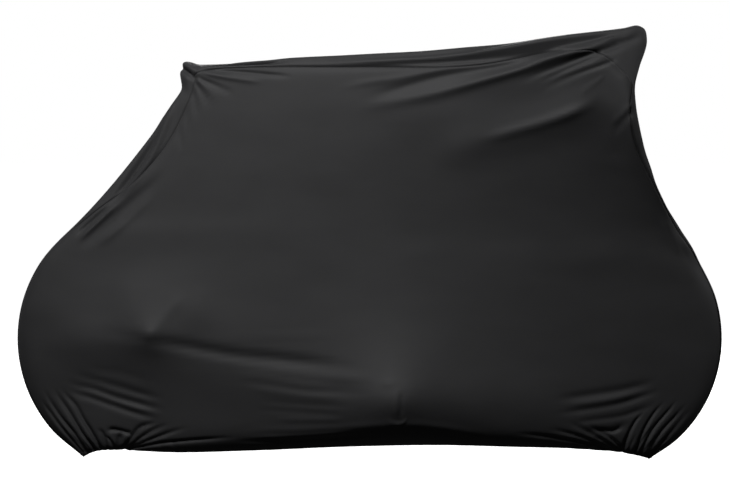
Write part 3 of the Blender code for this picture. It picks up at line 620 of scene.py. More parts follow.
# --------------------------------------------------------------------------- the centre strip
def round_rows(end):
    """Strip sections on one round end, whose radius follows a parabola through its three."""
    rows = []
    for share in np.linspace(0.0, 1.0, end.cuts):
        angle = math.radians(end.from_deg + (end.to_deg - end.from_deg) * share)
        radius = (
            end.r_hem * (1 - share) * (1 - 2 * share)
            + end.r_half * 4 * share * (1 - share)
            + end.r_end * share * (2 * share - 1)
        )
        out_x, out_z = math.cos(angle), math.sin(angle)
        rows.append(Section(
            end.centre_x + radius * out_x,
            end.centre_z + radius * out_z,
            ROUND_RIDGE,
            -ROUND_CROWN,
            end.centre_x + (radius - ROUND_SEAM_DROP) * out_x,
            end.centre_z + (radius - ROUND_SEAM_DROP) * out_z,
            ROUND_SEAM_HALF,
        ))
    return rows


def strip_sections():
    """All sections from the rear hem to the front hem, and the rows of the panel's corners."""
    rear = round_rows(REAR_ROUND)
    front = round_rows(FRONT_ROUND)[::-1]
    names = list(SECTIONS)
    rows = np.array(rear + list(SECTIONS.values()) + front, float)
    return rows, len(rear) + names.index(REAR_CORNER), len(rear) + names.index(FRONT_CORNER)


def rounded_sections(points, at):
    """Smooth curves through each section's points, read at places counted in points."""
    runs = np.diff(points, axis=1)
    lengths = np.linalg.norm(runs, axis=2)
    ways = unit(runs)
    tangents = np.concatenate((ways[:, :1], unit(ways[:, 1:] + ways[:, :-1]), ways[:, -1:]), axis=1)
    columns = []
    for place in at:
        k = min(int(place), points.shape[1] - 2)
        start_pull = np.minimum(lengths[:, k], PULL_LIMIT * lengths[:, max(k - 1, 0)])
        end_pull = np.minimum(lengths[:, k], PULL_LIMIT * lengths[:, min(k + 1, lengths.shape[1] - 1)])
        columns.append(hermite(
            points[:, k],
            points[:, k + 1],
            tangents[:, k] * start_pull[:, None],
            tangents[:, k + 1] * end_pull[:, None],
            place - k,
        ))
    return np.stack(columns, axis=1)


def strip_surface(cells):
    """The strip's outer face as a grid, stations along it and cells across it."""
    rows, rear_corner, front_corner = strip_sections()
    share = running_share(rows[:, :2])
    whole = np.linalg.norm(np.diff(rows[:, :2], axis=0), axis=1).sum()
    top_share = share[front_corner] - share[rear_corner]
    rear = graded(cells.up, share[rear_corner] * whole, CLOSER_UP)
    top = graded(cells.along, top_share * whole, CLOSER_ALONG)
    front = 1 - graded(cells.up, (1 - share[front_corner]) * whole, CLOSER_UP)[::-1]
    at = np.concatenate((
        share[rear_corner] * rear,
        share[rear_corner] + top_share * top[1:],
        share[front_corner] + (1 - share[front_corner]) * front[1:],
    ))
    ridge_x, ridge_z, ridge_half, dip, seam_x, seam_z, seam_half = curve_through(share, rows, at).T
    run = unit(np.gradient(np.stack((ridge_x, ridge_z), axis=1), axis=0))
    middle_x, middle_z = ridge_x + dip * run[:, 1], ridge_z - dip * run[:, 0]

    def across(x, z, half):
        return np.stack((x, half, z), axis=1)

    def between(first, second, share_of_first):
        return share_of_first * first + (1 - share_of_first) * second

    middle = across(middle_x, middle_z, 0 * ridge_half)
    ridge = across(ridge_x, ridge_z, ridge_half)
    seam = across(seam_x, seam_z, seam_half)
    quarter = between(ridge, middle, QUARTER_DROP)
    quarter[:, 1] = 0.5 * ridge_half
    side = between(ridge, seam, SIDE_SHARE)
    side[:, 1] = (1 - SIDE_SHARE) * ridge_half + SIDE_SHARE * seam_half
    half_section = (middle, quarter, ridge, side, seam)
    mirror = np.array((1, -1, 1))
    near = [points * mirror for points in half_section[:0:-1]]
    points = np.stack(near + list(half_section), axis=1)
    half = np.concatenate([k + np.array(steps) for k, steps in enumerate(ACROSS_STEPS)])
    centre = len(ACROSS_STEPS)
    return rounded_sections(points, np.concatenate((half, [centre], 2 * centre - half[::-1])))


# ------------------------------------------------------------------------------ the side panels
def blended_patch(bottom, top, left, right, u, v):
    """The surface between four edge curves that share their corners."""
    u, v = u[:, None, None], v[None, :, None]
    ruled = (1 - v) * bottom[:, None] + v * top[:, None] + (1 - u) * left[None] + u * right[None]
    corners = (
        (1 - u) * (1 - v) * bottom[0]
        + u * (1 - v) * bottom[-1]
        + (1 - u) * v * top[0]
        + u * v * top[-1]
    )
    return ruled - corners


def taut_waves(edge, along, away, depth):
    """How an edge's own shape dies out in taut cloth, wave by wave. Depth is in edge lengths."""
    rise = edge - edge[0] - (edge[-1] - edge[0]) * along
    settled = 0.0
    for n in range(1, EDGE_WAVES + 1):
        wave = np.sin(n * math.pi * along)
        product = rise * wave
        size = ((product[1:] + product[:-1]) * np.diff(along)).sum()
        k = n * math.pi * depth
        fall = np.exp(-k * away) * (1 - np.exp(-2 * k * (1 - away))) / (1 - math.exp(-2 * k))
        settled = settled + size * wave[:, None] * fall[None, :]
    return settled


def taut_patch(bottom, top, left, right, u, v):
    """A patch whose width follows a film drawn taut between its edges."""
    long = 0.5 * (np.ptp(bottom[:, 0]) + np.ptp(top[:, 0]))
    high = 0.5 * (np.ptp(left[:, 2]) + np.ptp(right[:, 2]))
    heights = [edge[:, 1] for edge in (bottom, top, left, right)]
    film = (
        (1 - u)[:, None] * ((1 - v) * heights[2][0] + v * heights[2][-1])
        + u[:, None] * ((1 - v) * heights[3][0] + v * heights[3][-1])
        + taut_waves(heights[0], u, v, high / long)
        + taut_waves(heights[1], u, 1 - v, high / long)
        + taut_waves(heights[2], v, u, long / high).T
        + taut_waves(heights[3], v, 1 - u, long / high).T
    )
    patch = blended_patch(bottom, top, left, right, u, v)
    patch[..., 1] = (
        film
        + (heights[0] - film[:, 0])[:, None] * np.exp(-v * high / EDGE_FADE)
        + (heights[1] - film[:, -1])[:, None] * np.exp(-(1 - v) * high / EDGE_FADE)
        + (heights[2] - film[0]) * np.exp(-u * long / EDGE_FADE)[:, None]
        + (heights[3] - film[-1]) * np.exp(-(1 - u) * long / EDGE_FADE)[:, None]
    )
    return patch


def narrowness(half, reach=NARROW_HALF):
    """How narrow the strip is, from 1 on the rounds towards 0 where it is wide."""
    return np.exp(-(half - ROUND_SEAM_HALF) / reach)


def panel_hem(left, right, u):
    """The hem between a panel's two lower corners: its points, belly and turn, read at `u`."""
    corners = [HemPoint(*edge[0, (0, 2)], ROUND_SEAM_HALF, 0, PIN_REACH) for edge in (left, right)]
    rows = np.array((corners[0], *HEM, corners[1]), float)
    x, z, half, belly, turn = curve_through(running_share(rows[:, :2]), rows, u).T
    return np.stack((x, half, z), axis=1), belly[:, None], turn[:, None]


def panel_surface(seam, panel, cells):
    """A panel's outer face from its seam line: cells along it and up it, with half widths in Y."""
    left = seam[: cells.up + 1]
    top = seam[cells.up : cells.up + cells.along + 1]
    right = seam[cells.up + cells.along :][::-1]
    u, v = running_share(top), 0.5 * (running_share(left) + running_share(right))
    hem, belly, turn = panel_hem(left, right, u)
    grid = taut_patch(hem, top, left, right, u, v)

    x, z = grid[..., 0], grid[..., 2]
    half = grid[..., 1].copy()
    above_hem = np.hypot(x - x[:, :1], z - z[:, :1])
    swell = belly * (1 - np.exp(-above_hem / BELLY_REACH)) * (1 - v[None]) ** 2
    for edge in (0, -1):
        narrow = narrowness(half[edge])
        gap = np.hypot(x - x[edge], z - z[edge])
        far_edge = u[:, None] if edge == 0 else 1 - u[:, None]
        swell += SHOULDER * narrow * (1 - np.exp(-gap / SHOULDER_REACH)) * (1 - far_edge) ** 2
    for point in panel.points.values():
        gap = np.hypot(np.hypot(x - point.x, z - point.z), point.tip)
        full = math.log1p((point.reach / point.tip) ** 2)
        swell += point.lift * np.log1p((point.reach / gap) ** 2) / full
    swell += PANEL_WAVE * soft_noise(x / PANEL_WAVE_LONG, z / PANEL_WAVE_HIGH, panel.seed)

    beside = [
        (np.exp(-np.hypot(x - x[line], z - z[line]) / PIN_REACH), half[line])
        for line in (np.s_[:1], np.s_[-1:], np.s_[:, -1:])
    ]
    free = 1 - np.maximum.reduce([near for near, _ in beside])
    held = np.maximum.reduce([near * narrowness(width, HELD_HALF) for near, width in beside])
    grid[..., 1] += swell * free * (1 - np.exp(-above_hem / turn))

    along_hem = np.cumsum(np.abs(np.diff(x[:, 0], prepend=x[0, 0])))[:, None]
    gathered = smooth_step((np.abs(x) - GATHER_FROM) / (GATHER_FULL - GATHER_FROM))
    ripples = soft_noise(along_hem / RIPPLE_SIZE + 0 * x, above_hem / RIPPLE_REACH, panel.seed + 1)
    ripples *= RIPPLE * (RIPPLE_LEAST + (1 - RIPPLE_LEAST) * gathered)
    ripples *= np.exp(-above_hem / RIPPLE_REACH)
    shaped = fold_height(x, z, panel.folds) + fold_height(x, z, panel.gathers, GATHER_FADE)
    shaped *= 1 - (1 - HEM_HOLD) * np.exp(-above_hem / PIN_REACH)
    grid[..., 1] += shaped * (1 - held) + ripples * free
    return grid


# ----------------------------------------------------------------------------- sewing together
def grid_normals(grid):
    """Normals of a grid of points, on the side of (along x across)."""
    return unit(np.cross(np.gradient(grid, axis=0), np.gradient(grid, axis=1)))


def panel_edge(cells):
    """Panel indices along its seam, from the rear hem corner over the top to the front one."""
    rear = [(0, j) for j in range(cells.up)]
    top = [(i, cells.up) for i in range(cells.along)]
    front = [(cells.along, j) for j in range(cells.up, -1, -1)]
    return tuple(np.array(rear + top + front).T)


def square_distance(grid, line, ways):
    """Distance of each grid point from the line, square to the line's way at its own station."""
    offset = grid - line
    whole = np.linalg.norm(offset, axis=-1)
    along = (offset * ways).sum(axis=-1)
    return np.maximum(np.sqrt(np.maximum(whole**2 - along**2, 0)), LEAST_DISTANCE * whole)


def seam_profile(distance, groove_half):
    """Height beside a seam: a groove along it and a slight welt where its allowance lies."""
    groove = -GROOVE_DEPTH * np.exp(-((distance / groove_half) ** 2))
    return groove + WELT * np.exp(-(((distance - WELT_AT) / WELT_HALF) ** 2))


def hem_profile(distance):
    """Height above the hem's edge: a casing with its stitch line."""
    from_stitches = (distance - STITCH_LINE) / STITCH_GROOVE_HALF
    from_middle = (distance - 0.5 * STITCH_LINE) / CASING_PUFF_HALF
    return CASING_PUFF * np.exp(-(from_middle**2)) - STITCH_GROOVE * np.exp(-(from_stitches**2))


def turned_under(grid, normals):
    """Adds the rows that turn the hem under, before the first row of a grid (rows first)."""
    down = unit(grid[0] - grid[1])
    out = normals[0]
    rows = []
    for degrees in HEM_TURN:
        angle = math.radians(degrees)
        rows.append(
            grid[0] + HEM_RADIUS * (math.sin(angle) * down - (1 - math.cos(angle)) * out)
        )
    rows.append(rows[-1] - HEM_INSIDE * down)
    return np.concatenate((np.stack(rows[::-1]), grid))


def sewn_panel(panel, strip, strip_normals, ways, cells):
    """A panel's outer face, its normals, and those that it shares with the strip at its seam."""
    mirror = np.array((1, panel.side, 1))
    edge = panel_edge(cells)
    inner = (np.clip(edge[0], 1, cells.along - 1), np.clip(edge[1], 1, cells.up - 1))
    grid = panel_surface(strip[:, panel.column] * mirror, panel, cells) * mirror
    normals = -panel.side * grid_normals(grid)
    shared = unit(normals[inner] + strip_normals[:, panel.column])
    normals[edge] = shared
    seam_ways = ways[:, panel.column]
    seam_sides = (
        (grid[0], seam_ways[: cells.up + 1], 0),
        (grid[:, -1], seam_ways[cells.up : cells.up + cells.along + 1], 1),
        (grid[-1], seam_ways[cells.up + cells.along :][::-1], 0),
    )
    distance = np.minimum.reduce([
        square_distance(grid, np.expand_dims(line, axis), np.expand_dims(way, axis))
        for line, way, axis in seam_sides
    ])
    above_hem = np.linalg.norm(grid - grid[:, :1], axis=-1)
    rise = seam_profile(distance, GROOVE_HALF)
    rise += hem_profile(above_hem) * smooth_step(distance / HEM_FROM_SEAM)
    grid = grid + rise[..., None] * normals
    normals = -panel.side * grid_normals(grid)
    normals[edge] = shared
    return grid, normals, shared


def carried_folds(strip, distance, half_width):
    """Rise of the side folds where they cross the seam onto the strip and die out on its top."""
    carried = np.zeros(distance.shape)
    ridge_half = np.abs(strip[:, RIDGE_COLUMN, 1])[:, None]
    over = np.maximum(ridge_half - np.abs(strip[..., 1]), 0)
    wide = smooth_step((half_width - CARRY_HALF) / CARRY_HALF_RISE)
    for panel in PANELS:
        this_half = strip[..., 1] < 0 if panel.side < 0 else strip[..., 1] >= 0
        seam_half = np.abs(strip[:, panel.column, 1])[:, None]
        held = np.exp(-distance / PIN_REACH) * narrowness(seam_half, HELD_HALF)
        weight = this_half * np.exp(-((over / OVER_RIDGE) ** 2)) * (1 - held) * wide
        carried += weight * fold_height(strip[..., 0], strip[..., 2], panel.folds)
    return carried


def top_relief(strip, distance, half_width):
    """Rise of the waves and the long folds on the wide top of the strip."""
    line = strip[:, LENGTH_COLUMN]
    along = np.linalg.norm(np.diff(line, axis=0, prepend=line[:1]), axis=-1).cumsum()[:, None]
    t = strip[..., 1] / np.maximum(half_width, 1)
    inner = smooth_step(distance / TOP_FROM_SEAM)
    inner *= smooth_step((half_width - TOP_HALF) / TOP_HALF_RISE)
    waves = soft_noise(along / TOP_WAVE_LONG + 0 * t, t * half_width / TOP_WAVE_WIDE, TOP_SEED)
    folds = (strip[..., 2] > TOP_FROM_Z) * fold_height(strip[..., 0], strip[..., 1], TOP_FOLDS)
    return inner * (TOP_WAVE * waves + folds)


def sewn_strip(strip, normals, ways):
    """The strip's outer face with its seams, hems and folds, from its plain face."""
    distance = np.minimum(
        square_distance(strip, strip[:, :1], ways[:, :1]),
        square_distance(strip, strip[:, -1:], ways[:, -1:]),
    )
    half_width = 0.5 * np.linalg.norm(strip[:, 0] - strip[:, -1], axis=1)[:, None]
    above_hem = np.minimum(
        np.linalg.norm(strip - strip[:1], axis=-1),
        np.linalg.norm(strip - strip[-1:], axis=-1),
    )
    rise = seam_profile(distance, np.minimum(GROOVE_HALF, GROOVE_SHARE * half_width))
    rise += hem_profile(above_hem) * smooth_step(distance / HEM_FROM_SEAM)
    rise += top_relief(strip, distance, half_width)
    carried = carried_folds(strip, distance, half_width)
    sideways = np.sign(strip[..., 1:2]) * np.array((0, 1, 0))
    beside = np.exp(-distance / PIN_REACH)[..., None]
    outward = unit(beside * sideways + (1 - beside) * normals)
    return strip + rise[..., None] * normals + carried[..., None] * outward


def sewn_cover(settings):
    """Outer faces and normals of the three pieces, with their shared seams, in millimetres."""
    cells = Cells(settings.cells_along, settings.cells_up)
    strip = strip_surface(cells)
    strip_normals = grid_normals(strip)
    ways = unit(np.gradient(strip, axis=0))
    surfaces, seams, shared = {}, {}, {}
    for panel in PANELS:
        grid, normals, at_seam = sewn_panel(panel, strip, strip_normals, ways, cells)
        surfaces[panel.piece] = (grid, normals)
        seams[panel.column] = grid[panel_edge(cells)]
        shared[panel.column] = at_seam
    for column, at_seam in shared.items():
        strip_normals[:, column] = at_seam
    strip = sewn_strip(strip, strip_normals, ways)
    for column, seam in seams.items():
        strip[:, column] = seam
    normals = grid_normals(strip)
    for column, at_seam in shared.items():
        normals[:, column] = at_seam
    surfaces[STRIP_CLOTH] = (strip, normals)
    return surfaces, seams, shared


def hem_stitch_line(grid):
    """Points at the height of the hem's stitches above the first row of a grid (rows first)."""
    low = grid[:HEM_ROWS]
    steps = np.linalg.norm(np.diff(low, axis=0), axis=-1)
    height = np.concatenate((np.zeros((1, grid.shape[1])), np.cumsum(steps, axis=0)))
    return np.stack([
        [np.interp(STITCH_LINE, height[:, k], low[:, k, c]) for c in range(3)]
        for k in range(grid.shape[1])
    ])


def hem_lines(surfaces):
    """The hem's lines with their outward ways: both panels, then the strip's two ends."""
    hems = []
    for panel in PANELS:
        grid, normals = surfaces[panel.piece]
        hems.append((grid.swapaxes(0, 1), normals.swapaxes(0, 1), PANEL_ENDS))
    grid, normals = surfaces[STRIP_CLOTH]
    hems.append((grid, normals, STRIP_ENDS))
    hems.append((grid[::-1], normals[::-1], STRIP_ENDS))
    return [
        (hem_stitch_line(grid)[ends:-ends], normals[STITCH_ROW, ends:-ends])
        for grid, normals, ends in hems
    ]


# -------------------------------------------------------------------------------- to Blender
def metres(points):
    """Millimetres over the ground to metres in the frame."""
    return (points - np.array((0, 0, TOP_INSIDE))) * MM


def cloth_object(name, grid, normals, uv, flipped, thickness, material):
    """A closed thin sheet from its outer face, whose quads may be flipped. UVs are in metres."""
    rows, columns = grid.shape[:2]
    outer = metres(grid).reshape(-1, 3)
    points = np.concatenate((outer, outer - thickness * normals.reshape(-1, 3)))
    index = np.arange(rows * columns).reshape(rows, columns)
    quads = np.stack((index[:-1, :-1], index[1:, :-1], index[1:, 1:], index[:-1, 1:]), axis=-1)
    quads = quads.reshape(-1, 4)
    border = np.concatenate((
        index[:-1, 0], index[-1, :-1], index[:0:-1, -1], index[0, :0:-1],
    ))
    onward = np.roll(border, -1)
    rim = np.stack((onward, border, border + rows * columns, onward + rows * columns), axis=-1)
    faces = np.concatenate((quads, quads[:, ::-1] + rows * columns, rim))
    if flipped:
        faces = faces[:, ::-1]
    mesh = bpy.data.meshes.new(name)
    mesh.vertices.add(len(points))
    mesh.vertices.foreach_set("co", points.ravel())
    mesh.loops.add(faces.size)
    mesh.loops.foreach_set("vertex_index", faces.ravel())
    mesh.polygons.add(len(faces))
    mesh.polygons.foreach_set("loop_start", np.arange(0, faces.size, 4))
    mesh.update(calc_edges=True)
    layer = mesh.uv_layers.new(name="cloth")
    both = np.concatenate((uv.reshape(-1, 2), uv.reshape(-1, 2)))
    layer.uv.foreach_set("vector", both[faces.ravel()].ravel())
    mesh.validate()
    mesh.shade_smooth()
    mesh.materials.append(material)
    piece = bpy.data.objects.new(name, mesh)
    bpy.context.collection.objects.link(piece)
    return piece


def add_node(tree, kind, links=(), **settings):
    """Adds a node with its settings and inputs. A link is (input, source node, output)."""
    node = tree.nodes.new(kind)
    inputs = settings.pop("inputs", {})
    for key, value in settings.items():
        setattr(node, key, value)
    for key, value in inputs.items():
        node.inputs[key].default_value = value
    for key, source, output in links:
        tree.links.new(source.outputs[output], node.inputs[key])
    return node


def knit_material(settings):
    """Warp-knit polyester with elastane, matt black, dyed in the yarn.

    The eye sees a soft, almost dry black that lifts to dark grey where light grazes it. Its loops
    are about 0.5 mm wide, so they are drawn three times as coarse to show at all.
    """
    material = bpy.data.materials.new(KNIT)
    material.use_nodes = True
    tree = material.node_tree
    tree.nodes.clear()
    place = add_node(tree, "ShaderNodeTexCoord")
    cloth = add_node(tree, "ShaderNodeUVMap", uv_map="cloth")
    wide = add_node(
        tree, "ShaderNodeMapping", [("Vector", place, "Object")],
        inputs={"Scale": MOTTLE_STRETCH},
    )
    mottle = add_node(
        tree, "ShaderNodeTexNoise", [("Vector", wide, "Vector")],
        inputs={"Scale": 1 / MOTTLE_SIZE, "Detail": 3.0, "Roughness": 0.55},
    )
    fuzz = add_node(
        tree, "ShaderNodeTexNoise", [("Vector", cloth, "UV")],
        inputs={"Scale": 1 / FUZZ_SIZE, "Detail": 2.0},
    )
    dark, light = ((*(c * f for c in settings.cloth_colour), 1.0) for f in MOTTLE_SHADES)
    shade = add_node(
        tree, "ShaderNodeMix", [("Factor", mottle, "Fac")], data_type="RGBA",
        inputs={MIX_FIRST: dark, MIX_SECOND: light},
    )
    wales, courses = (
        add_node(
            tree, "ShaderNodeTexWave", [("Vector", cloth, "UV")], bands_direction=direction,
            inputs={"Scale": WAVE_UNIT / size, "Distortion": 0.6, "Detail": 1.0, "Detail Scale": 2.0},
        )
        for direction, size in (("X", LOOP_WIDTH), ("Y", LOOP_HEIGHT))
    )
    loops = add_node(
        tree, "ShaderNodeMath", [(0, wales, "Fac"), (1, courses, "Fac")], operation="MULTIPLY",
    )
    relief = add_node(
        tree, "ShaderNodeBump", [("Height", loops, "Value")],
        inputs={"Strength": 0.35, "Distance": 0.25 * MM},
    )
    surface = add_node(
        tree, "ShaderNodeBump", [("Height", fuzz, "Fac"), ("Normal", relief, "Normal")],
        inputs={"Strength": 0.25, "Distance": 0.5 * MM},
    )
    rough = add_node(
        tree, "ShaderNodeMapRange", [("Value", fuzz, "Fac")],
        inputs={
            "To Min": settings.roughness - ROUGHNESS_SPREAD,
            "To Max": settings.roughness + ROUGHNESS_SPREAD,
        },
    )
    shader = add_node(
        tree, "ShaderNodeBsdfPrincipled",
        [
            ("Base Color", shade, MIX_RESULT),
            ("Roughness", rough, "Result"),
            ("Normal", surface, "Normal"),
        ],
        inputs={
            "IOR": 1.5,
            "Specular IOR Level": 0.35,
            "Sheen Weight": settings.sheen,
            "Sheen Roughness": 0.45,
            "Sheen Tint": linear(SHEEN_HEX),
        },
    )
    add_node(tree, "ShaderNodeOutputMaterial", [("Surface", shader, "BSDF")])
    return material


def thread_material():
    """Spun polyester sewing thread, black: it is a touch shinier than the knit it sinks into, and lighter
    patches on it are painted highlights on the crests of its plies.
    """
    material = bpy.data.materials.new("spun polyester thread, black")
    material.use_nodes = True
    tree = material.node_tree
    tree.nodes.clear()
    place = add_node(tree, "ShaderNodeTexCoord")
    # noise that places the painted highlights on the crests of the plies
    painted_highlight = add_node(
        tree, "ShaderNodeTexNoise", [("Vector", place, "Object")],
        inputs={"Scale": 1 / TWIST_SIZE, "Detail": 1.0},
    )
    # mixes the thread's colour with a lighter copy of it: painted highlight on the crests of the plies
    shade = add_node(
        tree, "ShaderNodeMix", [("Factor", painted_highlight, "Fac")], data_type="RGBA",
        inputs={MIX_FIRST: linear(THREAD_HEX), MIX_SECOND: linear(THREAD_HIGHLIGHT_HEX)},
    )
    shader = add_node(
        tree, "ShaderNodeBsdfPrincipled", [("Base Color", shade, MIX_RESULT)],
        inputs={"Roughness": 0.55, "IOR": 1.5, "Sheen Weight": 0.1},
    )
    add_node(tree, "ShaderNodeOutputMaterial", [("Surface", shader, "BSDF")])
    return material


# --------------------------------------------------------------------------- sewing by nodes
def stitch_tree():
    """Geometry Nodes that lay short arched threads along stored lines, each turned to its cloth."""
    tree = bpy.data.node_groups.new("thread stitches", "GeometryNodeTree")
    tree.interface.new_socket("Geometry", in_out="INPUT", socket_type="NodeSocketGeometry")
    for name, value in (
        ("Pitch", 3.5 * MM), ("Length", 3.0 * MM), ("Thread Radius", 0.3 * MM),
        ("Arch", 0.5 * MM), ("Turn", 0.0), ("Zigzag", 0.0), ("Unevenness", 0.12),
    ):
        socket = tree.interface.new_socket(name, in_out="INPUT", socket_type="NodeSocketFloat")
        socket.default_value = value
    seed = tree.interface.new_socket("Seed", in_out="INPUT", socket_type="NodeSocketInt")
    seed.default_value = 7
    tree.interface.new_socket("Material", in_out="INPUT", socket_type="NodeSocketMaterial")
    tree.interface.new_socket("Geometry", in_out="OUTPUT", socket_type="NodeSocketGeometry")
    group = add_node(tree, "NodeGroupInput")

    half = add_node(
        tree, "ShaderNodeMath", [(0, group, "Length")], operation="MULTIPLY", inputs={1: 0.5},
    )
    minus_half = add_node(
        tree, "ShaderNodeMath", [(0, group, "Length")], operation="MULTIPLY", inputs={1: -0.5},
    )
    start = add_node(tree, "ShaderNodeCombineXYZ", [("X", minus_half, 0)])
    end = add_node(tree, "ShaderNodeCombineXYZ", [("X", half, 0)])
    crest = add_node(tree, "ShaderNodeCombineXYZ", [("Z", group, "Arch")])
    arc = add_node(
        tree, "GeometryNodeCurveQuadraticBezier",
        [("Start", start, 0), ("Middle", crest, 0), ("End", end, 0)],
        inputs={"Resolution": 3},
    )
    ring = add_node(
        tree, "GeometryNodeCurvePrimitiveCircle", [("Radius", group, "Thread Radius")],
        inputs={"Resolution": 5},
    )
    thread = add_node(
        tree, "GeometryNodeCurveToMesh", [("Curve", arc, 0), ("Profile Curve", ring, 0)],
        inputs={"Fill Caps": True},
    )

    lines = add_node(tree, "GeometryNodeMeshToCurve", [("Mesh", group, "Geometry")])
    spaced = add_node(
        tree, "GeometryNodeResampleCurve", [("Curve", lines, 0), ("Length", group, "Pitch")],
        mode="LENGTH",
    )
    outward = add_node(
        tree, "GeometryNodeInputNamedAttribute", data_type="FLOAT_VECTOR", inputs={"Name": "outward"},
    )
    way = add_node(tree, "GeometryNodeInputTangent")
    facing = add_node(
        tree, "FunctionNodeAlignRotationToVector", [("Vector", outward, "Attribute")], axis="Z",
    )
    laid = add_node(
        tree, "FunctionNodeAlignRotationToVector", [("Rotation", facing, 0), ("Vector", way, 0)],
        axis="X", pivot_axis="Z",
    )
    number = add_node(tree, "GeometryNodeInputIndex")
    odd = add_node(tree, "ShaderNodeMath", [(0, number, 0)], operation="MODULO", inputs={1: 2.0})
    swing = add_node(
        tree, "ShaderNodeMath", [(0, odd, 0)], operation="MULTIPLY_ADD", inputs={1: 2.0, 2: -1.0},
    )
    zigzag = add_node(
        tree, "ShaderNodeMath", [(0, swing, 0), (1, group, "Zigzag"), (2, group, "Turn")],
        operation="MULTIPLY_ADD",
    )
    turn = add_node(tree, "ShaderNodeCombineXYZ", [("Z", zigzag, 0)])
    turn_rotation = add_node(tree, "FunctionNodeEulerToRotation", [("Euler", turn, 0)])
    turned = add_node(
        tree, "FunctionNodeRotateRotation", [("Rotation", laid, 0), ("Rotate By", turn_rotation, 0)],
        rotation_space="LOCAL",
    )
    least = add_node(
        tree, "ShaderNodeMath", [(1, group, "Unevenness")], operation="SUBTRACT", inputs={0: 1.0},
    )
    most = add_node(
        tree, "ShaderNodeMath", [(1, group, "Unevenness")], operation="ADD", inputs={0: 1.0},
    )
    size = add_node(
        tree, "FunctionNodeRandomValue",
        [("Min", least, 0), ("Max", most, 0), ("Seed", group, "Seed")], data_type="FLOAT",
    )
    placed = add_node(
        tree, "GeometryNodeInstanceOnPoints",
        [
            ("Points", spaced, 0),
            ("Instance", thread, 0),
            ("Rotation", turned, 0),
            ("Scale", size, "Value"),
        ],
    )
    real = add_node(tree, "GeometryNodeRealizeInstances", [("Geometry", placed, 0)])
    smooth = add_node(tree, "GeometryNodeSetShadeSmooth", [("Geometry", real, 0)])
    finish = add_node(
        tree, "GeometryNodeSetMaterial", [("Geometry", smooth, 0), ("Material", group, "Material")],
    )
    add_node(tree, "NodeGroupOutput", [("Geometry", finish, 0)])
    return tree


def stitched(name, lines, tree, values, material):
    """One mesh of stitches along lines, each a pair of points and outward directions."""
    mesh = bpy.data.meshes.new(name)
    points = np.concatenate([line for line, _ in lines])
    edges = []
    first = 0
    for line, _ in lines:
        edges += [(first + k, first + k + 1) for k in range(len(line) - 1)]
        first += len(line)
    mesh.from_pydata(metres(points).tolist(), edges, [])
    outward = mesh.attributes.new("outward", "FLOAT_VECTOR", "POINT")
    outward.data.foreach_set("vector", np.concatenate([way for _, way in lines]).ravel())
    guide = bpy.data.objects.new(name + "_guide", mesh)
    bpy.context.collection.objects.link(guide)
    modifier = guide.modifiers.new("stitches", "NODES")
    modifier.node_group = tree
    sockets = {s.name: s.identifier for s in tree.interface.items_tree if s.in_out == "INPUT"}
    for key, value in values.items():
        modifier[sockets[key]] = value
    modifier[sockets["Material"]] = material
    bpy.context.view_layer.update()
    evaluated = guide.evaluated_get(bpy.context.evaluated_depsgraph_get())
    baked = bpy.data.meshes.new_from_object(evaluated)
    baked.name = name
    guide.modifiers.remove(modifier)
    bpy.data.objects.remove(guide)
    bpy.data.meshes.remove(mesh)
    piece = bpy.data.objects.new(name, baked)
    bpy.context.collection.objects.link(piece)
    return piece


# ------------------------------------------------------------------------------------ settings
class CoverClothSettings(PropertyGroup):
    """Sizes and finish of the knit."""

    thickness: FloatProperty(
        name="Thickness", description="Thickness of the knit", default=0.8 * MM,
        min=0.3 * MM, max=3 * MM, subtype="DISTANCE", unit="LENGTH",
    )
    cells_along: IntProperty(
        name="Cells along", description="Cells of a side panel from rear to front", default=320, min=40,
    )
    cells_up: IntProperty(
        name="Cells up", description="Cells of a side panel from hem to top", default=148, min=30,
    )
    cloth_colour: FloatVectorProperty(
        name="Cloth colour", description="Colour of the knit, linear", subtype="COLOR",
        default=linear(CLOTH_HEX)[:3], min=0, max=1,
    )
    roughness: FloatProperty(
        name="Roughness", description="How matt the knit is", default=0.7, min=0, max=1, subtype="FACTOR",
    )
    sheen: FloatProperty(
        name="Sheen", description="Glow of the fibre ends where light grazes them", default=0.12,
        min=0, max=1, subtype="FACTOR",
    )


class CoverStitchSettings(PropertyGroup):
    """Sizes of the sewing."""

    pitch: FloatProperty(
        name="Stitch pitch", description="From one stitch to the next", default=3.4 * MM,
        subtype="DISTANCE", unit="LENGTH",
    )
    length: FloatProperty(
        name="Stitch length", description="Length of thread that shows", default=3.2 * MM,
        subtype="DISTANCE", unit="LENGTH",
    )
    thread_radius: FloatProperty(
        name="Thread radius", description="Half the thread's thickness", default=0.28 * MM,
        subtype="DISTANCE", unit="LENGTH",
    )


class CoverStageSettings(PropertyGroup):
    """Light and floor."""

    key: FloatProperty(
        name="Key light", description="Power of the main light", default=56.0, min=0, unit="POWER",
    )
    side: FloatProperty(
        name="Side light", description="Power of the light beside the front", default=20.0,
        min=0, unit="POWER",
    )
    back: FloatProperty(
        name="Back light", description="Power of the light behind", default=70.0, min=0, unit="POWER",
    )
    rear: FloatProperty(
        name="Rear light", description="Power of the light behind the rear end", default=16.0,
        min=0, unit="POWER",
    )
    overhead: FloatProperty(
        name="Overhead light", description="Strength of the soft light from above", default=0.02, min=0,
    )
    room: FloatProperty(
        name="Room light", description="Even light from all around", default=0.026, min=0, subtype="FACTOR",
    )
    floor_colour: FloatVectorProperty(
        name="Floor colour", description="Colour of the floor, linear", subtype="COLOR",
        default=linear(FLOOR_HEX)[:3], min=0, max=1,
    )


# ----------------------------------------------------------------------------------- operators
def panel_uv(grid):
    """The side view's own metres: the knit's wales stand upright on the panels."""
    return np.stack((grid[..., 0], grid[..., 2]), axis=-1) * MM


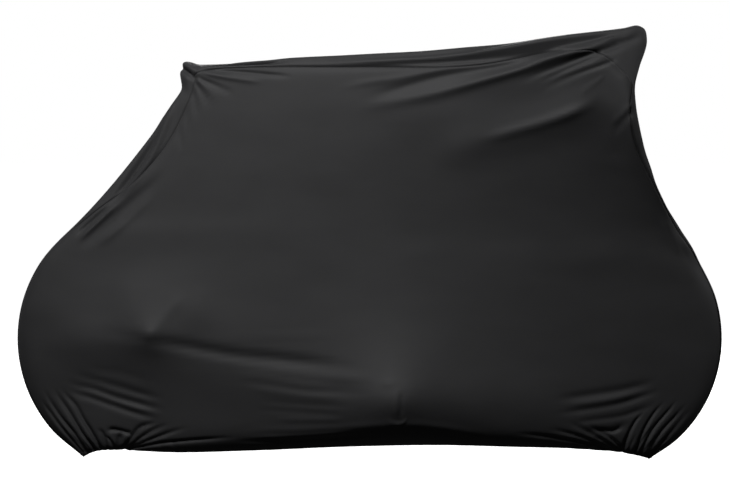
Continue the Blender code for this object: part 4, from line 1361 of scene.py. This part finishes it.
def strip_uv(grid):
    """Metres across and along the strip."""
    middle = grid.shape[1] // 2
    across = np.linalg.norm(np.diff(grid, axis=1, prepend=grid[:, :1]), axis=-1).cumsum(axis=1)
    line = grid[:, middle]
    along = np.linalg.norm(np.diff(line, axis=0, prepend=line[:1]), axis=-1).cumsum()[:, None]
    return np.stack((across - across[:, middle : middle + 1], along + 0 * across), axis=-1) * MM


def knit(settings):
    """The knit material, made once."""
    return bpy.data.materials.get(KNIT) or knit_material(settings)


class COVER_OT_side_panels(Operator):
    """Make the two side panels"""

    bl_idname = "cover.side_panels"
    bl_label = "Side panels"

    def execute(self, context):
        settings = context.scene.cover_cloth
        surfaces, _, _ = sewn_cover(settings)
        for panel in PANELS:
            grid, normals = surfaces[panel.piece]
            full = turned_under(grid.swapaxes(0, 1), normals.swapaxes(0, 1)).swapaxes(0, 1)
            full_normals = -panel.side * grid_normals(full)
            full_normals[0, -grid.shape[1] :] = normals[0]
            full_normals[-1, -grid.shape[1] :] = normals[-1]
            full_normals[:, -1] = normals[:, -1]
            piece = cloth_object(
                panel.piece, full, full_normals, panel_uv(full), panel.side > 0,
                settings.thickness, knit(settings),
            )
            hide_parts(panel.node)
            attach(piece, "root")
        return {"FINISHED"}


class COVER_OT_centre_strip(Operator):
    """Make the centre strip"""

    bl_idname = "cover.centre_strip"
    bl_label = "Centre strip"

    def execute(self, context):
        settings = context.scene.cover_cloth
        surfaces, _, _ = sewn_cover(settings)
        grid, normals = surfaces[STRIP_CLOTH]
        full = turned_under(grid, normals)
        extra = len(full) - len(grid)
        full = turned_under(full[::-1], np.concatenate((normals[:extra], normals))[::-1])[::-1]
        full_normals = grid_normals(full)
        full_normals[extra:-extra, 0] = normals[:, 0]
        full_normals[extra:-extra, -1] = normals[:, -1]
        piece = cloth_object(
            STRIP_CLOTH, full, full_normals, strip_uv(full), False,
            settings.thickness, knit(settings),
        )
        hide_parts("centre_strip")
        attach(piece, "root")
        return {"FINISHED"}


class COVER_OT_stitches(Operator):
    """Sew the seams and the hem"""

    bl_idname = "cover.stitches"
    bl_label = "Seam and hem stitches"

    def execute(self, context):
        settings = context.scene.cover_stitches
        surfaces, seams, shared = sewn_cover(context.scene.cover_cloth)
        tree = stitch_tree()
        material = thread_material()
        rungs = stitched(
            "seam_stitches",
            [(seam + SEAM_THREAD_OUT * shared[column], shared[column]) for column, seam in seams.items()],
            tree,
            {
                "Pitch": settings.pitch, "Length": settings.length, "Arch": SEAM_ARCH * MM,
                "Thread Radius": settings.thread_radius, "Turn": math.pi / 2, "Zigzag": SEAM_ZIGZAG,
            },
            material,
        )
        hem = stitched(
            "hem_stitches",
            [(line + HEM_THREAD_OUT * way, way) for line, way in hem_lines(surfaces)],
            tree,
            {
                "Pitch": settings.pitch, "Length": HEM_STITCH_LENGTH * settings.length,
                "Arch": HEM_ARCH * MM, "Thread Radius": settings.thread_radius,
                "Turn": 0.0, "Zigzag": math.radians(HEM_ZIGZAG_DEG),
            },
            material,
        )
        for piece in (rungs, hem):
            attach(piece, "root")
        return {"FINISHED"}


def floor_object(colour):
    """A wide floor in matt white paint, which stays evenly pale to the horizon and lights nothing."""
    ground = -TOP_INSIDE * MM
    mesh = bpy.data.meshes.new("floor")
    corners = [(x * FLOOR_HALF, y * FLOOR_HALF, ground) for x, y in ((-1, -1), (1, -1), (1, 1), (-1, 1))]
    mesh.from_pydata(corners, [], [(0, 1, 2, 3)])
    material = bpy.data.materials.new("painted studio floor, matt white")
    material.use_nodes = True
    shader = material.node_tree.nodes["Principled BSDF"]
    for key, value in (
        ("Base Color", (*colour, 1.0)),
        ("Roughness", 0.9),
        ("Specular IOR Level", 0.1),
        ("Emission Color", (1.0, 1.0, 1.0, 1.0)),
        ("Emission Strength", FLOOR_GLOW),
    ):
        shader.inputs[key].default_value = value
    mesh.materials.append(material)
    floor = bpy.data.objects.new("floor", mesh)
    floor.visible_diffuse = False
    floor.visible_glossy = False
    return floor


def room_world(strength):
    """A white room that lights evenly and looks full white to the camera."""
    world = bpy.data.worlds.new("even white room")
    world.use_nodes = True
    tree = world.node_tree
    tree.nodes.clear()
    path = add_node(tree, "ShaderNodeLightPath")
    seen = add_node(
        tree, "ShaderNodeMapRange", [("Value", path, "Is Camera Ray")],
        inputs={"To Min": strength, "To Max": 1.0},
    )
    light = add_node(
        tree, "ShaderNodeBackground", [("Strength", seen, "Result")],
        inputs={"Color": (1.0, 1.0, 1.0, 1.0)},
    )
    add_node(tree, "ShaderNodeOutputWorld", [("Surface", light, 0)])
    return world


def round_lamp(name, place, size, power, target):
    """A round lamp turned to the target."""
    data = bpy.data.lights.new(name, "AREA")
    data.energy = power
    data.shape = "DISK"
    data.size = size
    lamp = bpy.data.objects.new(name, data)
    lamp.location = place
    lamp.rotation_euler = (target - Vector(place)).to_track_quat("-Z", "Y").to_euler()
    return lamp


def soft_sun(strength):
    """A sun as wide as the sky, from straight above."""
    data = bpy.data.lights.new("overhead", "SUN")
    data.energy = strength
    data.angle = math.radians(OVERHEAD_ANGLE_DEG)
    return bpy.data.objects.new("overhead", data)


def photo_camera(target):
    """A camera before the near side that shows the target as large as the photograph does."""
    elevation = math.radians(CAMERA_ELEVATION_DEG)
    distance = CAMERA_DISTANCE * MM
    data = bpy.data.cameras.new("camera")
    data.sensor_width = SENSOR_WIDTH
    data.lens = SENSOR_WIDTH * CAMERA_DISTANCE / (PHOTO_WIDTH * PHOTO_MM_PER_PIXEL)
    data.clip_end = 200.0  # metres
    camera = bpy.data.objects.new("camera", data)
    camera.location = target + distance * Vector((0, -math.cos(elevation), math.sin(elevation)))
    camera.rotation_euler = (math.pi / 2 - elevation, 0, 0)
    return camera


class COVER_OT_stage(Operator):
    """Add the floor, the lights and the camera"""

    bl_idname = "cover.stage"
    bl_label = "Floor, lights and camera"

    def execute(self, context):
        settings = context.scene.cover_stage
        scene = context.scene
        target = Vector(CAMERA_TARGET) - Vector((0, 0, TOP_INSIDE))
        target *= MM
        floor = floor_object(settings.floor_colour)
        camera = photo_camera(target)
        for thing in (
            floor,
            round_lamp("key", KEY_PLACE, KEY_SIZE, settings.key, target),
            round_lamp("side", SIDE_PLACE, SIDE_SIZE, settings.side, target),
            round_lamp("back", BACK_PLACE, BACK_SIZE, settings.back, target),
            round_lamp("rear", REAR_PLACE, REAR_SIZE, settings.rear, target),
            soft_sun(settings.overhead),
            camera,
        ):
            scene.collection.objects.link(thing)
        scene.world = room_world(settings.room)
        scene.camera = camera
        scene.view_settings.view_transform = "Standard"
        return {"FINISHED"}


class COVER_PT_panel(Panel):
    """Steps and sizes of the cover"""

    bl_idname = "COVER_PT_panel"
    bl_label = "Bicycle cover"
    bl_space_type = "VIEW_3D"
    bl_region_type = "UI"
    bl_category = "Cover"

    def draw(self, context):
        layout = self.layout
        for group, steps in (
            ("cover_cloth", (COVER_OT_side_panels, COVER_OT_centre_strip)),
            ("cover_stitches", (COVER_OT_stitches,)),
            ("cover_stage", (COVER_OT_stage,)),
        ):
            settings = getattr(context.scene, group)
            box = layout.box()
            for name in settings.__annotations__:
                box.prop(settings, name)
            for step in steps:
                box.operator(step.bl_idname)


SETTINGS = {
    "cover_cloth": CoverClothSettings,
    "cover_stitches": CoverStitchSettings,
    "cover_stage": CoverStageSettings,
}
STEPS = (COVER_OT_side_panels, COVER_OT_centre_strip, COVER_OT_stitches, COVER_OT_stage)


def register():
    for group in (*SETTINGS.values(), *STEPS, COVER_PT_panel):
        bpy.utils.register_class(group)
    for name, group in SETTINGS.items():
        setattr(bpy.types.Scene, name, PointerProperty(type=group))


def unregister():
    for name in SETTINGS:
        delattr(bpy.types.Scene, name)
    for group in reversed((*SETTINGS.values(), *STEPS, COVER_PT_panel)):
        bpy.utils.unregister_class(group)


def main():
    register()
    bpy.ops.cover.side_panels()
    bpy.ops.cover.centre_strip()
    bpy.ops.cover.stitches()
    bpy.ops.cover.stage()


if __name__ == "__main__":
    main()
